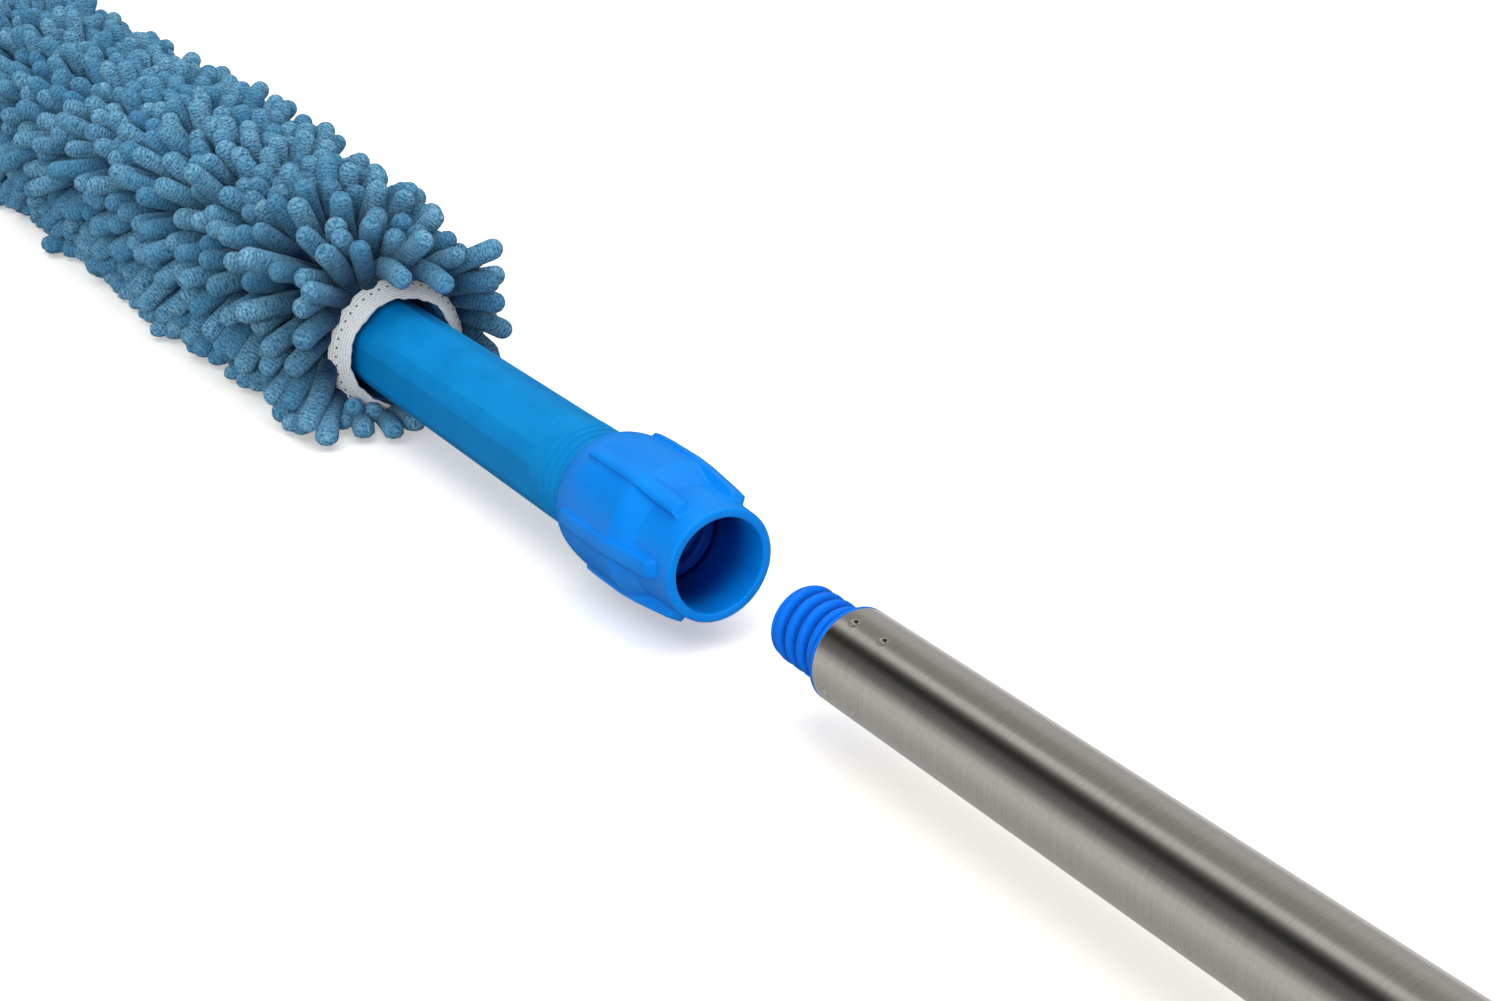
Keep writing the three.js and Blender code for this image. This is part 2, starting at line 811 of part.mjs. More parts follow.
place('inner_tube', innerTube(), tubeSteel);
place('inner_plug', innerPlug(), nylonWhite);
place('brake_ring', brakeRing(), ringRubber);
place('hand_grip', handGrip(), handleBlue);
place('end_cap', endCap(), collarBlue);

// The origin is under the middle of the whole layout, on the floor
onAxis.position.set(-(headTip + lugTip) / 2, 0, axisHeight);

const duster = new THREE.Group();
duster.add(onAxis);

export default duster;
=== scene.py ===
# %% [markdown]
# # A chenille duster and its telescopic pole
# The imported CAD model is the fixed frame: it says where every piece lies and which body
# carries it. This script dresses it. Each solid that shows gets a smooth, detailed piece in
# its place, and the pile of the duster, which the solids only sketch, is grown finger by
# finger.

# %% Load the frame
import math

import bmesh
import bpy
import numpy as np
from mathutils import Matrix, Vector


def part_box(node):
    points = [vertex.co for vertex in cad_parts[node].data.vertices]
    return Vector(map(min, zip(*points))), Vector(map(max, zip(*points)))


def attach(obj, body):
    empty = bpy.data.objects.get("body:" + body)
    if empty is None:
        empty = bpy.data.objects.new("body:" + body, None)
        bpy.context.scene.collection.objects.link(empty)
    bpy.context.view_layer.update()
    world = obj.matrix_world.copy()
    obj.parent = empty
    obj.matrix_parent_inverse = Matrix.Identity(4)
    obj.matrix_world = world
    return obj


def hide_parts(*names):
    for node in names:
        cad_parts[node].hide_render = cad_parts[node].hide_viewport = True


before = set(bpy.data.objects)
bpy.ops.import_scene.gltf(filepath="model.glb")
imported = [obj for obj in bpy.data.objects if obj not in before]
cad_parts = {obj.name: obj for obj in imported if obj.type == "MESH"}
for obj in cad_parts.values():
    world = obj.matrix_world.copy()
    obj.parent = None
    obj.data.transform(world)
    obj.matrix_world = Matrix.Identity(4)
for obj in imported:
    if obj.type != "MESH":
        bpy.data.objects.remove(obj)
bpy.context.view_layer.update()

# %% [markdown]
# Everything on this duster is turned about one axis, so places are easiest to give as a
# station along that axis, in millimetres from the mouth of the collar, and as a radius and an
# angle from straight up towards the viewer's side. Both reference values are read from the
# frame.

# %% Stations on the common axis
MM = 0.001
FULL_TURN = 2 * math.pi
mouth_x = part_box("collar")[1].x
tube_low, tube_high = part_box("outer_tube")
axis_z = (tube_low.z + tube_high.z) / 2


def spot(station, side=0, rise=0):
    """The point in the frame so many millimetres along, across and above the axis."""
    return Vector((mouth_x + station * MM, side * MM, axis_z + rise * MM))


def placed(name, data):
    """A new object in the scene."""
    made = bpy.data.objects.new(name, data)
    bpy.context.scene.collection.objects.link(made)
    return made


print(f"collar mouth at x = {mouth_x:.5f} m, axis {axis_z:.4f} m above the floor")

# %% [markdown]
# The camera stands where the photographer stood. A long pole and a long head give two
# vanishing directions, and from them come the lens, the two angles and the place.

# %% Camera
LENS_MM, SENSOR_MM, FAR_M = 50, 36, 50
CAMERA_SPOT = (405.7, -267.2, 233.9)
HEADING, PITCH, ROLL = (math.radians(a) for a in (145.78, 23.89, -1.02))


def camera_axes(heading, pitch, roll):
    """The camera's right, up and back directions."""
    ahead = Vector((
        math.cos(pitch) * math.cos(heading),
        math.cos(pitch) * math.sin(heading),
        -math.sin(pitch),
    ))
    right = Vector((math.sin(heading), -math.cos(heading), 0))
    down = ahead.cross(right)
    turned_right = right * math.cos(roll) + down * math.sin(roll)
    turned_down = down * math.cos(roll) - right * math.sin(roll)
    return turned_right, -turned_down, -ahead


lens = bpy.data.cameras.new("studio_camera")
lens.lens, lens.sensor_width, lens.clip_end = LENS_MM, SENSOR_MM, FAR_M
camera = placed("studio_camera", lens)
axes = Matrix(camera_axes(HEADING, PITCH, ROLL)).transposed().to_4x4()
camera.matrix_world = Matrix.Translation(spot(*CAMERA_SPOT)) @ axes
bpy.context.scene.camera = camera
print("camera at", tuple(round(c, 4) for c in spot(*CAMERA_SPOT)))

# %% [markdown]
# Materials are node trees. A few helpers keep them readable: one adds a node with its settings
# and links, one turns a hex colour, which is sRGB, into the linear values that Blender works
# with, and the others stand for the nodes that come back all the time.

# %% Helpers for materials
# A Mix node has sockets for every kind of data. These are the ones for colours.
COLOUR_A, COLOUR_B, COLOUR_RESULT = 6, 7, 2


def linear(hex_colour):
    """An sRGB hex value as a linear RGBA colour."""
    shares = [int(hex_colour[i:i + 2], 16) / 255 for i in (1, 3, 5)]
    return tuple(
        c / 12.92 if c <= 0.04045 else ((c + 0.055) / 1.055) ** 2.4 for c in shares) + (1.0,)


def add(tree, kind, links=None, **settings):
    """Adds a node. Links give its inputs, by name or number, a socket or a constant."""
    made = tree.nodes.new(kind)
    for key, value in settings.items():
        setattr(made, key, value)
    for key, value in (links or {}).items():
        if isinstance(value, bpy.types.NodeSocket):
            tree.links.new(value, made.inputs[key])
        else:
            made.inputs[key].default_value = value
    return made


def new_material(name):
    """An empty material and its tree."""
    material = bpy.data.materials.new(name)
    material.use_nodes = True
    material.node_tree.nodes.clear()
    return material, material.node_tree


def surface(tree, links):
    """A Principled shader wired to the output."""
    shader = add(tree, "ShaderNodeBsdfPrincipled", links)
    add(tree, "ShaderNodeOutputMaterial", {"Surface": shader.outputs["BSDF"]})


def maths(tree, operation, *values):
    """The result of one sum on sockets or numbers."""
    return add(tree, "ShaderNodeMath", dict(enumerate(values)), operation=operation).outputs[0]


def ranged(tree, value, to_min, to_max, from_min=0.0, from_max=1.0):
    """A value carried from one range to another."""
    return add(tree, "ShaderNodeMapRange", {
        "Value": value, "From Min": from_min, "From Max": from_max,
        "To Min": to_min, "To Max": to_max}).outputs["Result"]


def attribute(tree, name):
    """A number that the mesh carries at its points."""
    return add(tree, "ShaderNodeAttribute", attribute_name=name).outputs["Fac"]


def coordinates(tree, kind="Object"):
    """Places to lay a pattern on."""
    return add(tree, "ShaderNodeTexCoord").outputs[kind]


def speckle(tree, size_mm, detail=2.0, roughness=0.5):
    """Noise whose blobs are about so many millimetres across."""
    return add(tree, "ShaderNodeTexNoise", {
        "Vector": coordinates(tree), "Scale": 1 / (size_mm * MM), "Detail": detail,
        "Roughness": roughness}).outputs["Fac"]


def cells(tree, size_mm):
    """The distance from the middles of cells that are so many millimetres across."""
    return add(tree, "ShaderNodeTexVoronoi", {
        "Vector": coordinates(tree), "Scale": 1 / (size_mm * MM)}).outputs["Distance"]


def blend_colours(tree, factor, low, high, from_min=0.3, from_max=0.7):
    """A colour between two, each a hex value or a socket, led by a factor."""
    low, high = (linear(c) if isinstance(c, str) else c for c in (low, high))
    share = ranged(tree, factor, 0.0, 1.0, from_min, from_max)
    return add(tree, "ShaderNodeMix", {"Factor": share, COLOUR_A: low, COLOUR_B: high},
               data_type="RGBA").outputs[COLOUR_RESULT]


def relief(tree, height, strength, distance_mm, normal=None):
    """A bump from a height between 0 and 1 that stands so many millimetres."""
    links = {"Height": height, "Strength": strength, "Distance": distance_mm * MM}
    if normal is not None:
        links["Normal"] = normal
    return add(tree, "ShaderNodeBump", links).outputs["Normal"]


# %% [markdown]
# The collar and the pole's screw end are injection-moulded polypropylene. It is glossy but not
# hard: light goes in a little way, which lifts the thin rim at the mouth, and the skin has the
# slight waviness of a mould that was polished by hand. The handle is the same plastic from a
# matt mould. Points that lie far in, in the collar's bore or in the grooves of a thread, carry
# a mark named inside, and there the colour is painted darker, as painted shade.

# %% Moulded plastics


def moulded(name, dark, light, gloss, mirror, waviness_mm, grain, shade_colour="#002b80"):
    """Polypropylene from a mould: a little light goes in, and the skin is not quite even.
    Points marked inside are painted towards the shade colour, as painted shade.
    """
    material, tree = new_material(name)
    skin = relief(tree, speckle(tree, waviness_mm, detail=1), grain, 0.12)
    fine = relief(tree, speckle(tree, 0.35), grain * 0.5, 0.03, skin)
    wear = ranged(tree, speckle(tree, 5, detail=4), gloss - 0.05, gloss + 0.07)
    slant = add(tree, "ShaderNodeLayerWeight", {"Blend": 0.5}).outputs["Facing"]
    tone = blend_colours(tree, speckle(tree, 14, detail=3), dark, light)
    # Painted shade: where a point is marked inside, the colour goes over to the shade colour.
    surface(tree, {
        "Base Color": blend_colours(tree, attribute(tree, "inside"), tone, shade_colour, 0.0, 1.0),
        "Roughness": ranged(tree, slant, wear, 0.85, 0.45, 0.95), "IOR": 1.49,
        "Normal": fine, "Specular IOR Level": mirror, "Subsurface Weight": 0.03,
        "Subsurface Radius": (0.3, 0.5, 1.0), "Subsurface Scale": 0.6 * MM})
    return material


# The last colour, where one is given, is the painted shade for points marked inside.
gloss_blue = moulded("polypropylene_gloss_blue", "#027de0", "#058aec", 0.3, 0.14, 9, 0.1)
satin_blue = moulded("polypropylene_satin_blue", "#0380c6", "#078bd2", 0.5, 0.08, 3, 0.12)
screw_blue = moulded("polypropylene_screw_blue", "#0269e0", "#0476ec", 0.32, 0.12, 6, 0.1,
                     "#0146a6")
nylon = moulded("nylon_natural", "#d2d6d4", "#e2e4e1", 0.45, 0.4, 4, 0.12, "#b9bdbb")
print("moulded plastics:", [m.name for m in (gloss_blue, satin_blue, screw_blue, nylon)])

# %% [markdown]
# The pole is drawn stainless tube, ground round and round on a belt. The scratches run round
# the tube, so its highlights are long lines that blur a little: the anisotropic setting does
# that, with a tangent that circles the axis. The real scratches are about 0.05 mm apart, too
# fine to show, so they are drawn 0.25 mm apart and faint.

# %% Ground steel


def ground_steel(name, dark, light, roughness, scratch_mm, length_mm):
    """Stainless steel with fine scratches round it."""
    material, tree = new_material(name)
    across, around = 1 / (scratch_mm * MM), 1 / (length_mm * MM)
    stretched = add(tree, "ShaderNodeMapping", {
        "Vector": coordinates(tree), "Scale": (across, around, around)}).outputs["Vector"]
    scratches = add(tree, "ShaderNodeTexNoise", {
        "Vector": stretched, "Scale": 1.0, "Detail": 3.0, "Roughness": 0.7}).outputs["Fac"]
    tangent = add(tree, "ShaderNodeTangent", direction_type="RADIAL", axis="X")
    surface(tree, {
        "Base Color": blend_colours(tree, scratches, dark, light), "Metallic": 1.0,
        "Roughness": ranged(tree, speckle(tree, 30, detail=3), roughness - 0.03,
                            roughness + 0.05),
        "Anisotropic": 0.3, "Tangent": tangent.outputs["Tangent"],
        "Normal": relief(tree, scratches, 0.035, 0.02)})
    return material


tube_steel = ground_steel("stainless_ground_tube", "#b3b0a8", "#c4c0b7", 0.19, 0.25, 14)
wire_steel = ground_steel("spring_steel_bright", "#b0b3b6", "#cbced0", 0.3, 0.4, 4)
print("steels:", tube_steel.name, wire_steel.name)

# %% [markdown]
# The pile is microfibre chenille: soft tubes of short loops, like terry towelling. Each finger
# is about 7.5 mm thick, and its skin is made of loops a millimetre across that lie in faint
# rings. Two attributes travel with every finger: how far along it a point lies, which paints
# the roots darker as painted shade where the fingers crowd each other, and a tint of its own.
# The loops catch light at a grazing angle, which the sheen gives.

# %% Chenille
LOOP_MM, RING_MM = 1.1, 1.3
material, tree = new_material("microfibre_chenille_blue")
along = attribute(tree, "along")
wobble = maths(tree, "MULTIPLY", speckle(tree, 2.2), 14.0)
turns = maths(tree, "MULTIPLY_ADD", along, FULL_TURN / (RING_MM * MM), wobble)
rings = maths(tree, "MULTIPLY_ADD", maths(tree, "SINE", turns), 0.13, 0.56)
loops = maths(tree, "MULTIPLY_ADD", cells(tree, LOOP_MM), -0.5, rings)
fuzz = speckle(tree, 0.52, detail=3, roughness=0.65)
height = maths(tree, "MULTIPLY_ADD", fuzz, 0.9, loops)
base = blend_colours(tree, speckle(tree, 7), "#74b1d3", "#8ec8e4", 0.35, 0.65)
tinted = blend_colours(tree, attribute(tree, "tint"), "#5c9ec5", base, 0.0, 0.7)
pitted = blend_colours(tree, height, "#2f6d99", tinted, 0.46, 0.96)
# Painted shade: each finger's colour darkens towards its root, over its first 28 mm.
surface(tree, {
    "Base Color": blend_colours(tree, along, "#042340", pitted, 0.008, 0.028),
    "Roughness": 0.95, "Normal": relief(tree, height, 1.0, 0.7),
    "Sheen Weight": 0.3, "Sheen Roughness": 0.4, "Sheen Tint": linear("#a6d8f0"),
    "Specular IOR Level": 0.15})
chenille = material
print("pile:", chenille.name, "loops", LOOP_MM, "mm, rings", RING_MM, "mm")

# %% [markdown]
# The mouth of the cover is knitted elastic: fine ribs that follow the strip, a little grey in
# the hollows. The core of the wand is a foam sleeve with open pores, the ring in the pole's
# plug is plain nitrile rubber, and the stitches are dark thread.

# %% Elastic, foam, rubber and thread


def elastic_material():
    """Knitted elastic: ribs where the across attribute says, and yarn between them."""
    material, tree = new_material("knitted_elastic_white")
    yarn = speckle(tree, 0.45, detail=3)
    ripple = maths(tree, "MULTIPLY_ADD", yarn, 1.4, attribute(tree, "across"))
    height = maths(tree, "MULTIPLY_ADD", maths(tree, "SINE", ripple), 0.16, yarn)
    surface(tree, {
        "Base Color": blend_colours(tree, height, "#b7bdbf", "#e3e6e6", 0.3, 0.62),
        "Roughness": 0.9, "Sheen Weight": 0.2, "Specular IOR Level": 0.25,
        "Normal": relief(tree, height, 0.6, 0.3)})
    return material


def porous_material(name, dark, light, pore_mm, roughness, depth_mm):
    """A matt material with pores."""
    material, tree = new_material(name)
    pores = cells(tree, pore_mm)
    surface(tree, {
        "Base Color": blend_colours(tree, pores, dark, light, 0.1, 0.6),
        "Roughness": roughness, "Normal": relief(tree, pores, 0.5, depth_mm)})
    return material


elastic = elastic_material()
foam = porous_material("eva_foam_grey", "#59626c", "#747d87", 0.9, 0.9, 0.2)
rubber = porous_material("nitrile_rubber_black", "#1b1d20", "#2a2c30", 0.6, 0.75, 0.05)
thread = porous_material("polyester_thread_dark", "#3b4450", "#566070", 0.3, 0.85, 0.05)
knit = porous_material("cotton_knit_blue", "#1e466f", "#2f5f90", 1.2, 0.95, 0.2)
print("soft materials:", [m.name for m in (elastic, foam, rubber, thread, knit)])

# %% [markdown]
# Turned shapes come from an outline of stations and radii. Real corners are never sharp, so a
# helper rounds each corner of the outline, and another adds points where a surface needs them
# to carry relief. The mesh is then a grid of rings and columns, so any relief, such as a rib, a
# flute or a thread, is a change of radius that depends on the place on the grid.

# %% Helpers for outlines
# A rounding takes up at most this share of a side. A point this near a radius counts as on it.
SIDE_SHARE, SKIN = 0.48, 0.02


def rounded(corners, steps=4):
    """An outline with its corners rounded. Corners are (station, radius, rounding) in mm."""
    outline = []
    count = len(corners)
    for i, (station, radius, rounding) in enumerate(corners):
        here = np.array((station, radius), float)
        if rounding <= 0:
            outline.append(here)
            continue
        before = np.array(corners[i - 1][:2], float) - here
        after = np.array(corners[(i + 1) % count][:2], float) - here
        lengths = np.linalg.norm(before), np.linalg.norm(after)
        before, after = before / lengths[0], after / lengths[1]
        half = math.acos(max(-1.0, min(1.0, float(before @ after)))) / 2
        reach = min(rounding / math.tan(half), SIDE_SHARE * min(lengths))
        for t in np.linspace(0, 1, steps + 1):
            outline.append(here + before * reach * (1 - t) ** 2 + after * reach * t ** 2)
    return np.array(outline)


def finer(outline, step, first=-math.inf, last=math.inf, closed=True):
    """The outline with extra points, so that none is further than a step from the next."""
    points = []
    count = len(outline)
    for i in range(count if closed else count - 1):
        a, b = outline[i], outline[(i + 1) % count]
        points.append(a)
        inside = first <= min(a[0], b[0]) and max(a[0], b[0]) <= last
        parts = int(np.ceil(np.linalg.norm(b - a) / step)) if inside else 1
        points.extend(a + (b - a) * k / parts for k in range(1, parts))
    if not closed:
        points.append(outline[-1])
    return np.array(points)


def quarter_round(base, tip, foot, radius, count):
    """Corners on a quarter of an ellipse, from a tip on one radius to its full width."""
    return [(base + (tip - base) * math.cos(t), foot + (radius - foot) * math.sin(t), 0)
            for t in np.linspace(0, math.pi / 2, count)]


def smooth_step(t):
    """0 below 0, 1 above 1 and an S between."""
    t = np.clip(t, 0, 1)
    return t * t * (3 - 2 * t)


def between(values, first, last, run):
    """1 between two values, easing to 0 at both ends within a run."""
    return smooth_step((values - first) / run) * smooth_step((last - values) / run)


def from_nearest(angles, count, start=0.0):
    """The angle from the nearest of so many evenly spaced places, in radians."""
    pitch = FULL_TURN / count
    return (angles - start + pitch / 2) % pitch - pitch / 2


def round_groove(stations, middle, half, depth):
    """How deep a round-bottomed groove is at each station."""
    near = np.clip(np.abs(stations - middle) / half, 0, 1)
    return depth * (0.5 + 0.5 * np.cos(math.pi * near))


# %% Helpers for meshes


def carry(mesh, name, numbers):
    """Gives each point of a mesh one number, for a material or a tree to read."""
    mesh.attributes.new(name, "FLOAT", "POINT").data.foreach_set(
        "value", np.asarray(numbers, np.float32))


def point_places(mesh):
    """The points of a mesh as three rows: x, y and z."""
    places = np.empty(len(mesh.vertices) * 3)
    mesh.vertices.foreach_get("co", places)
    return places.reshape(-1, 3).T


def count_triangles(piece):
    """Prints how many triangles a piece has."""
    triangles = sum(len(p.vertices) - 2 for p in piece.data.polygons)
    print(f"{piece.name}: {triangles} triangles")


def to_object(name, vertices, faces, material, body, node=None, slot=None):
    """A smooth mesh object that rides on a body and may stand for a CAD node."""
    mesh = bpy.data.meshes.new(name)
    mesh.from_pydata([tuple(v) for v in vertices], [], [tuple(f) for f in faces])
    welded = bmesh.new()
    welded.from_mesh(mesh)
    bmesh.ops.remove_doubles(welded, verts=welded.verts, dist=1e-6)
    welded.to_mesh(mesh)
    welded.free()
    mesh.shade_smooth()
    mesh.materials.append(material)
    made = placed(name, mesh)
    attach(made, body)
    if node:
        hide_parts(node)
    count_triangles(made)
    return made


def grid_mesh(stations, radii, angles, closed=True):
    """Vertices and faces of a grid of rings. The outer surface comes first."""
    vertices = np.stack([
        mouth_x + stations * MM, -radii * MM * np.sin(angles),
        axis_z + radii * MM * np.cos(angles)], -1).reshape(-1, 3)
    rows, columns = stations.shape
    ring = np.arange(rows if closed else rows - 1)[:, None]
    column = np.arange(columns)[None, :]
    here, up = ring * columns, ((ring + 1) % rows) * columns
    after = (column + 1) % columns
    faces = np.stack([here + column, here + after, up + after, up + column], -1)
    return vertices, faces.reshape(-1, 4)


def turned(name, outline, columns, change, material, body, **more):
    """A turned piece. The change takes grids of stations, radii and angles."""
    stations = np.repeat(outline[:, :1], columns, 1)
    radii = np.repeat(outline[:, 1:], columns, 1)
    angles = np.repeat(
        (np.arange(columns) * FULL_TURN / columns)[None, :], len(outline), 0)
    if change:
        radii = change(stations, radii, angles)
    closed = not (outline[0, 1] == 0 and outline[-1, 1] == 0)
    vertices, faces = grid_mesh(stations, radii, angles, closed)
    return to_object(name, vertices, faces, material, body, **more)


# %% [markdown]
# ## The collar
# The collar is a union nut that is gripped by hand. Its body is a domed barrel, a short cone
# and a nose, all round, and six moulded ribs run over all three. The ribs keep almost their
# height where the body drops away under them, so they stand tallest on the nose. The columns
# of the grid follow the sides of the ribs at every ring, which keeps those sides clean.

# %% Collar body
COLLAR_BACK, SHOULDER_TOP, CONE_BACK, CONE_FRONT = -56.0, -42.0, -24.5, -16.0
COLLAR_FOOT, BARREL, NOSE_BACK, NOSE_FRONT = 17.0, 20.2, 16.9, 16.1
SOCKET, SOCKET_FLOOR, CAVITY, CAVITY_BACK, COLLAR_HOLE = 13.4, -24.0, 17.4, -52.5, 15.8
RIM_DEPTH, SHADE_DEPTH, SHOULDER_POINTS = 0.9, 15, 13

collar_outline = rounded([
    *quarter_round(SHOULDER_TOP, COLLAR_BACK, COLLAR_FOOT, BARREL, SHOULDER_POINTS),
    (CONE_BACK, BARREL, 2.2), (CONE_FRONT, NOSE_BACK, 2.2), (0, NOSE_FRONT, 1.2),
    (0, SOCKET, 0.8), (SOCKET_FLOOR, SOCKET, 0), (SOCKET_FLOOR, CAVITY, 0),
    (CAVITY_BACK, CAVITY, 0), (CAVITY_BACK, COLLAR_HOLE, 0), (COLLAR_BACK, COLLAR_HOLE, 0.4),
], steps=5)
front_row = int(np.argmax(collar_outline[:, 0] > -RIM_DEPTH))
collar_outer = finer(collar_outline[:front_row + 1], 0.45, closed=False)
collar_inner = finer(collar_outline[front_row + 1:], 3.0, closed=False)
collar_rows = np.vstack([collar_outer, collar_inner])
is_outer = np.arange(len(collar_rows)) < len(collar_outer)
print("collar rows:", len(collar_outer), "outside,", len(collar_inner), "inside")

# %% Ribs of the collar
RIB_COUNT, RIB_START, RIB_TOP_HALF, RIB_FOOT_HALF, RIB_CROWN = 6, 28.0, 2.15, 2.6, 0.12
TOP_COLUMNS, SIDE_COLUMNS, GAP_COLUMNS = 2, 6, 7
rib_line = rounded([
    (-48.3, 19.2, 0), (-47.7, 21.2, 0.7), (-43.0, 21.4, 3.0), (-30.0, 21.4, 6.0),
    (-24.0, 21.0, 6.0), (-10.0, 19.3, 2.0), (-6.7, 18.7, 0.5), (-5.7, 16.0, 0)], steps=6)


def collar_columns(base_radius):
    """Angles about a rib's middle, for one ring: its top, its side and the gap beyond."""
    top = math.asin(RIB_TOP_HALF / base_radius)
    foot = math.asin(RIB_FOOT_HALF / base_radius)
    half = np.concatenate([
        np.linspace(0, top, TOP_COLUMNS, endpoint=False),
        np.linspace(top, foot, SIDE_COLUMNS, endpoint=False),
        np.linspace(foot, math.pi / RIB_COUNT, GAP_COLUMNS + 1),
    ])
    return np.concatenate([-half[:0:-1], half[:-1]])


def collar_grid():
    """Radii and angles for every row: the columns follow the ribs, which lift the rows."""
    radii, angles = [], []
    starts = np.arange(RIB_COUNT)[:, None] * FULL_TURN / RIB_COUNT
    for outer, (station, radius) in zip(is_outer, collar_rows):
        sector = collar_columns(radius if outer else max(radius, CAVITY))
        across = np.abs(radius * np.sin(sector))
        top = np.interp(station, rib_line[:, 0], rib_line[:, 1], 0, 0)
        side = smooth_step((RIB_FOOT_HALF - across) / (RIB_FOOT_HALF - RIB_TOP_HALF))
        crown = RIB_CROWN * (across / RIB_TOP_HALF) ** 2
        lift = np.maximum(top - crown - radius, 0) * side * outer
        radii.append(np.tile(radius + lift, RIB_COUNT))
        angles.append((sector + math.radians(RIB_START) + starts).ravel())
    return np.array(radii), np.array(angles)


radii, angles = collar_grid()
stations = np.repeat(collar_rows[:, :1], radii.shape[1], 1)
collar_shell = to_object("collar_shell", *grid_mesh(stations, radii, angles), gloss_blue,
                         "collar", node="collar", slot="collar_blue")
# Painted shade: the bore of the collar darkens towards its floor, where little light reaches.
row_shade = smooth_step(-collar_rows[:, 0] / SHADE_DEPTH) * ~is_outer
carry(collar_shell.data, "inside", np.repeat(row_shade, radii.shape[1]))

# %% [markdown]
# ## The screw thread
# The pole's end carries a coarse right-hand thread with a pitch of 4.5 mm, and the ring in the
# collar its hollow twin. Both use one function for the place on the helix, so they are in
# mesh when the pole is drawn in: 81 mm of travel is 18 whole turns.

# %% Screw end
THREAD_PITCH, CREST, THREAD_ROOT, THREAD_PHASE = 4.5, 10.2, 8.2, 0.3
THREAD_DEPTH, CREST_CUT, CREST_GAIN = CREST - THREAD_ROOT, 0.1, 0.95
TIP_END, LIP_FACE, TUBE_START = 36.5, 57.0, 58.0
TUBE_RADIUS, PLUG_RADIUS, PLUG_BORE, PLUG_END = 12.5, 11.2, 8.2, 90
# The plain lengths at both ends of the thread, each with the length over which it runs out.
NOSE_PLAIN, NOSE_RUN, NECK_PLAIN, NECK_RUN = 0.6, 1.6, 1.0, 1.5
# The painted shade in the grooves begins so far below the crest and behind the nose, and is
# full after a run.
GROOVE_SHADE_DEPTH, GROOVE_SHADE_BACK, GROOVE_SHADE_RUN = 0.3, 1.2, 1.5


def ridge(stations, angles):
    """1 on the crest of the thread and 0 in its root, with round crests."""
    turns = (stations - TUBE_START) / THREAD_PITCH - angles / FULL_TURN + THREAD_PHASE
    wave = 0.5 + 0.5 * np.cos(FULL_TURN * turns)
    return smooth_step(CREST_CUT + CREST_GAIN * wave)


def male_thread(stations, radii, angles):
    """Cuts the thread into the screw end, running out into the neck and the nose."""
    on_end = (stations <= LIP_FACE - 0.4) & (radii > 3)
    begun = smooth_step((stations - TIP_END - NOSE_PLAIN) / NOSE_RUN)
    ended = smooth_step((LIP_FACE - NECK_PLAIN - stations) / NECK_RUN)
    depth = THREAD_DEPTH * (1 - ridge(stations, angles)) * begun
    cut = np.maximum(depth * ended + THREAD_DEPTH * (1 - ended), 0)
    return np.where(on_end, radii - np.minimum(cut, np.maximum(radii - THREAD_ROOT, 0)), radii)


def groove_shade(mesh):
    """How far each point lies down in the grooves of the screw end, 0 to 1: the painted shade.
    """
    x, y, z = point_places(mesh)
    sunk = CREST - GROOVE_SHADE_DEPTH - np.hypot(y, z - axis_z) / MM
    behind_nose = smooth_step(((x - mouth_x) / MM - TIP_END - GROOVE_SHADE_BACK) / GROOVE_SHADE_RUN)
    return smooth_step(sunk / GROOVE_SHADE_RUN) * behind_nose


tip_outline = np.vstack([
    finer(rounded([(TIP_END, 0, 0), (TIP_END, CREST, 2.2), (LIP_FACE - 0.35, CREST, 0)],
                  steps=8), 0.22, first=TIP_END + 0.5, closed=False),
    rounded([
        (LIP_FACE - 0.3, CREST - 1.2, 0), (LIP_FACE, TUBE_RADIUS, 0.3),
        (TUBE_START - 0.12, TUBE_RADIUS, 0.15), (TUBE_START - 0.1, PLUG_RADIUS, 0),
        (PLUG_END, PLUG_RADIUS, 0.5), (PLUG_END, PLUG_BORE, 0), (TUBE_START, PLUG_BORE, 0),
        (TUBE_START, 0, 0)])[:-1],
    [(TUBE_START, 0)]])
screw_end = turned("screw_end", tip_outline, 112, male_thread, screw_blue, "pole",
                   node="thread_tip", slot="tip_blue")
# Painted shade in the grooves of the thread.
carry(screw_end.data, "inside", groove_shade(screw_end.data))

# %% Threaded ring
RING_FRONT, RING_BACK, RING_RADIUS, BORE = -24.3, -44.3, 17.1, CREST + 0.3
RING_PLAIN, RING_RUN, RIDGE_GAP = 0.8, 1.2, 0.15


def female_thread(stations, radii, angles):
    """Raises the hollow thread's ridges in the bore of the ring."""
    in_bore = radii < BORE + 0.05
    edge = between(stations, RING_BACK + RING_PLAIN, RING_FRONT - RING_PLAIN, RING_RUN)
    rise = (THREAD_DEPTH - RIDGE_GAP) * (1 - ridge(stations, angles)) * edge
    return np.where(in_bore, radii - rise, radii)


ring_outline = np.vstack([
    rounded([(RING_BACK, BORE + 0.6, 0), (RING_BACK, RING_RADIUS, 0.3),
             (RING_FRONT, RING_RADIUS, 0.3), (RING_FRONT, BORE + 0.8, 0)]),
    finer(np.array([(RING_FRONT - 0.7, BORE), (RING_BACK + 0.6, BORE)]), 0.3, closed=False)])
threaded_ring = turned("threaded_ring", ring_outline, 96, female_thread, gloss_blue,
                       "collar", node="thread_insert", slot="collar_blue")
# Painted shade: the whole ring sits far in the collar, so all of it takes the painted shade.
carry(threaded_ring.data, "inside", np.ones(len(threaded_ring.data.vertices)))

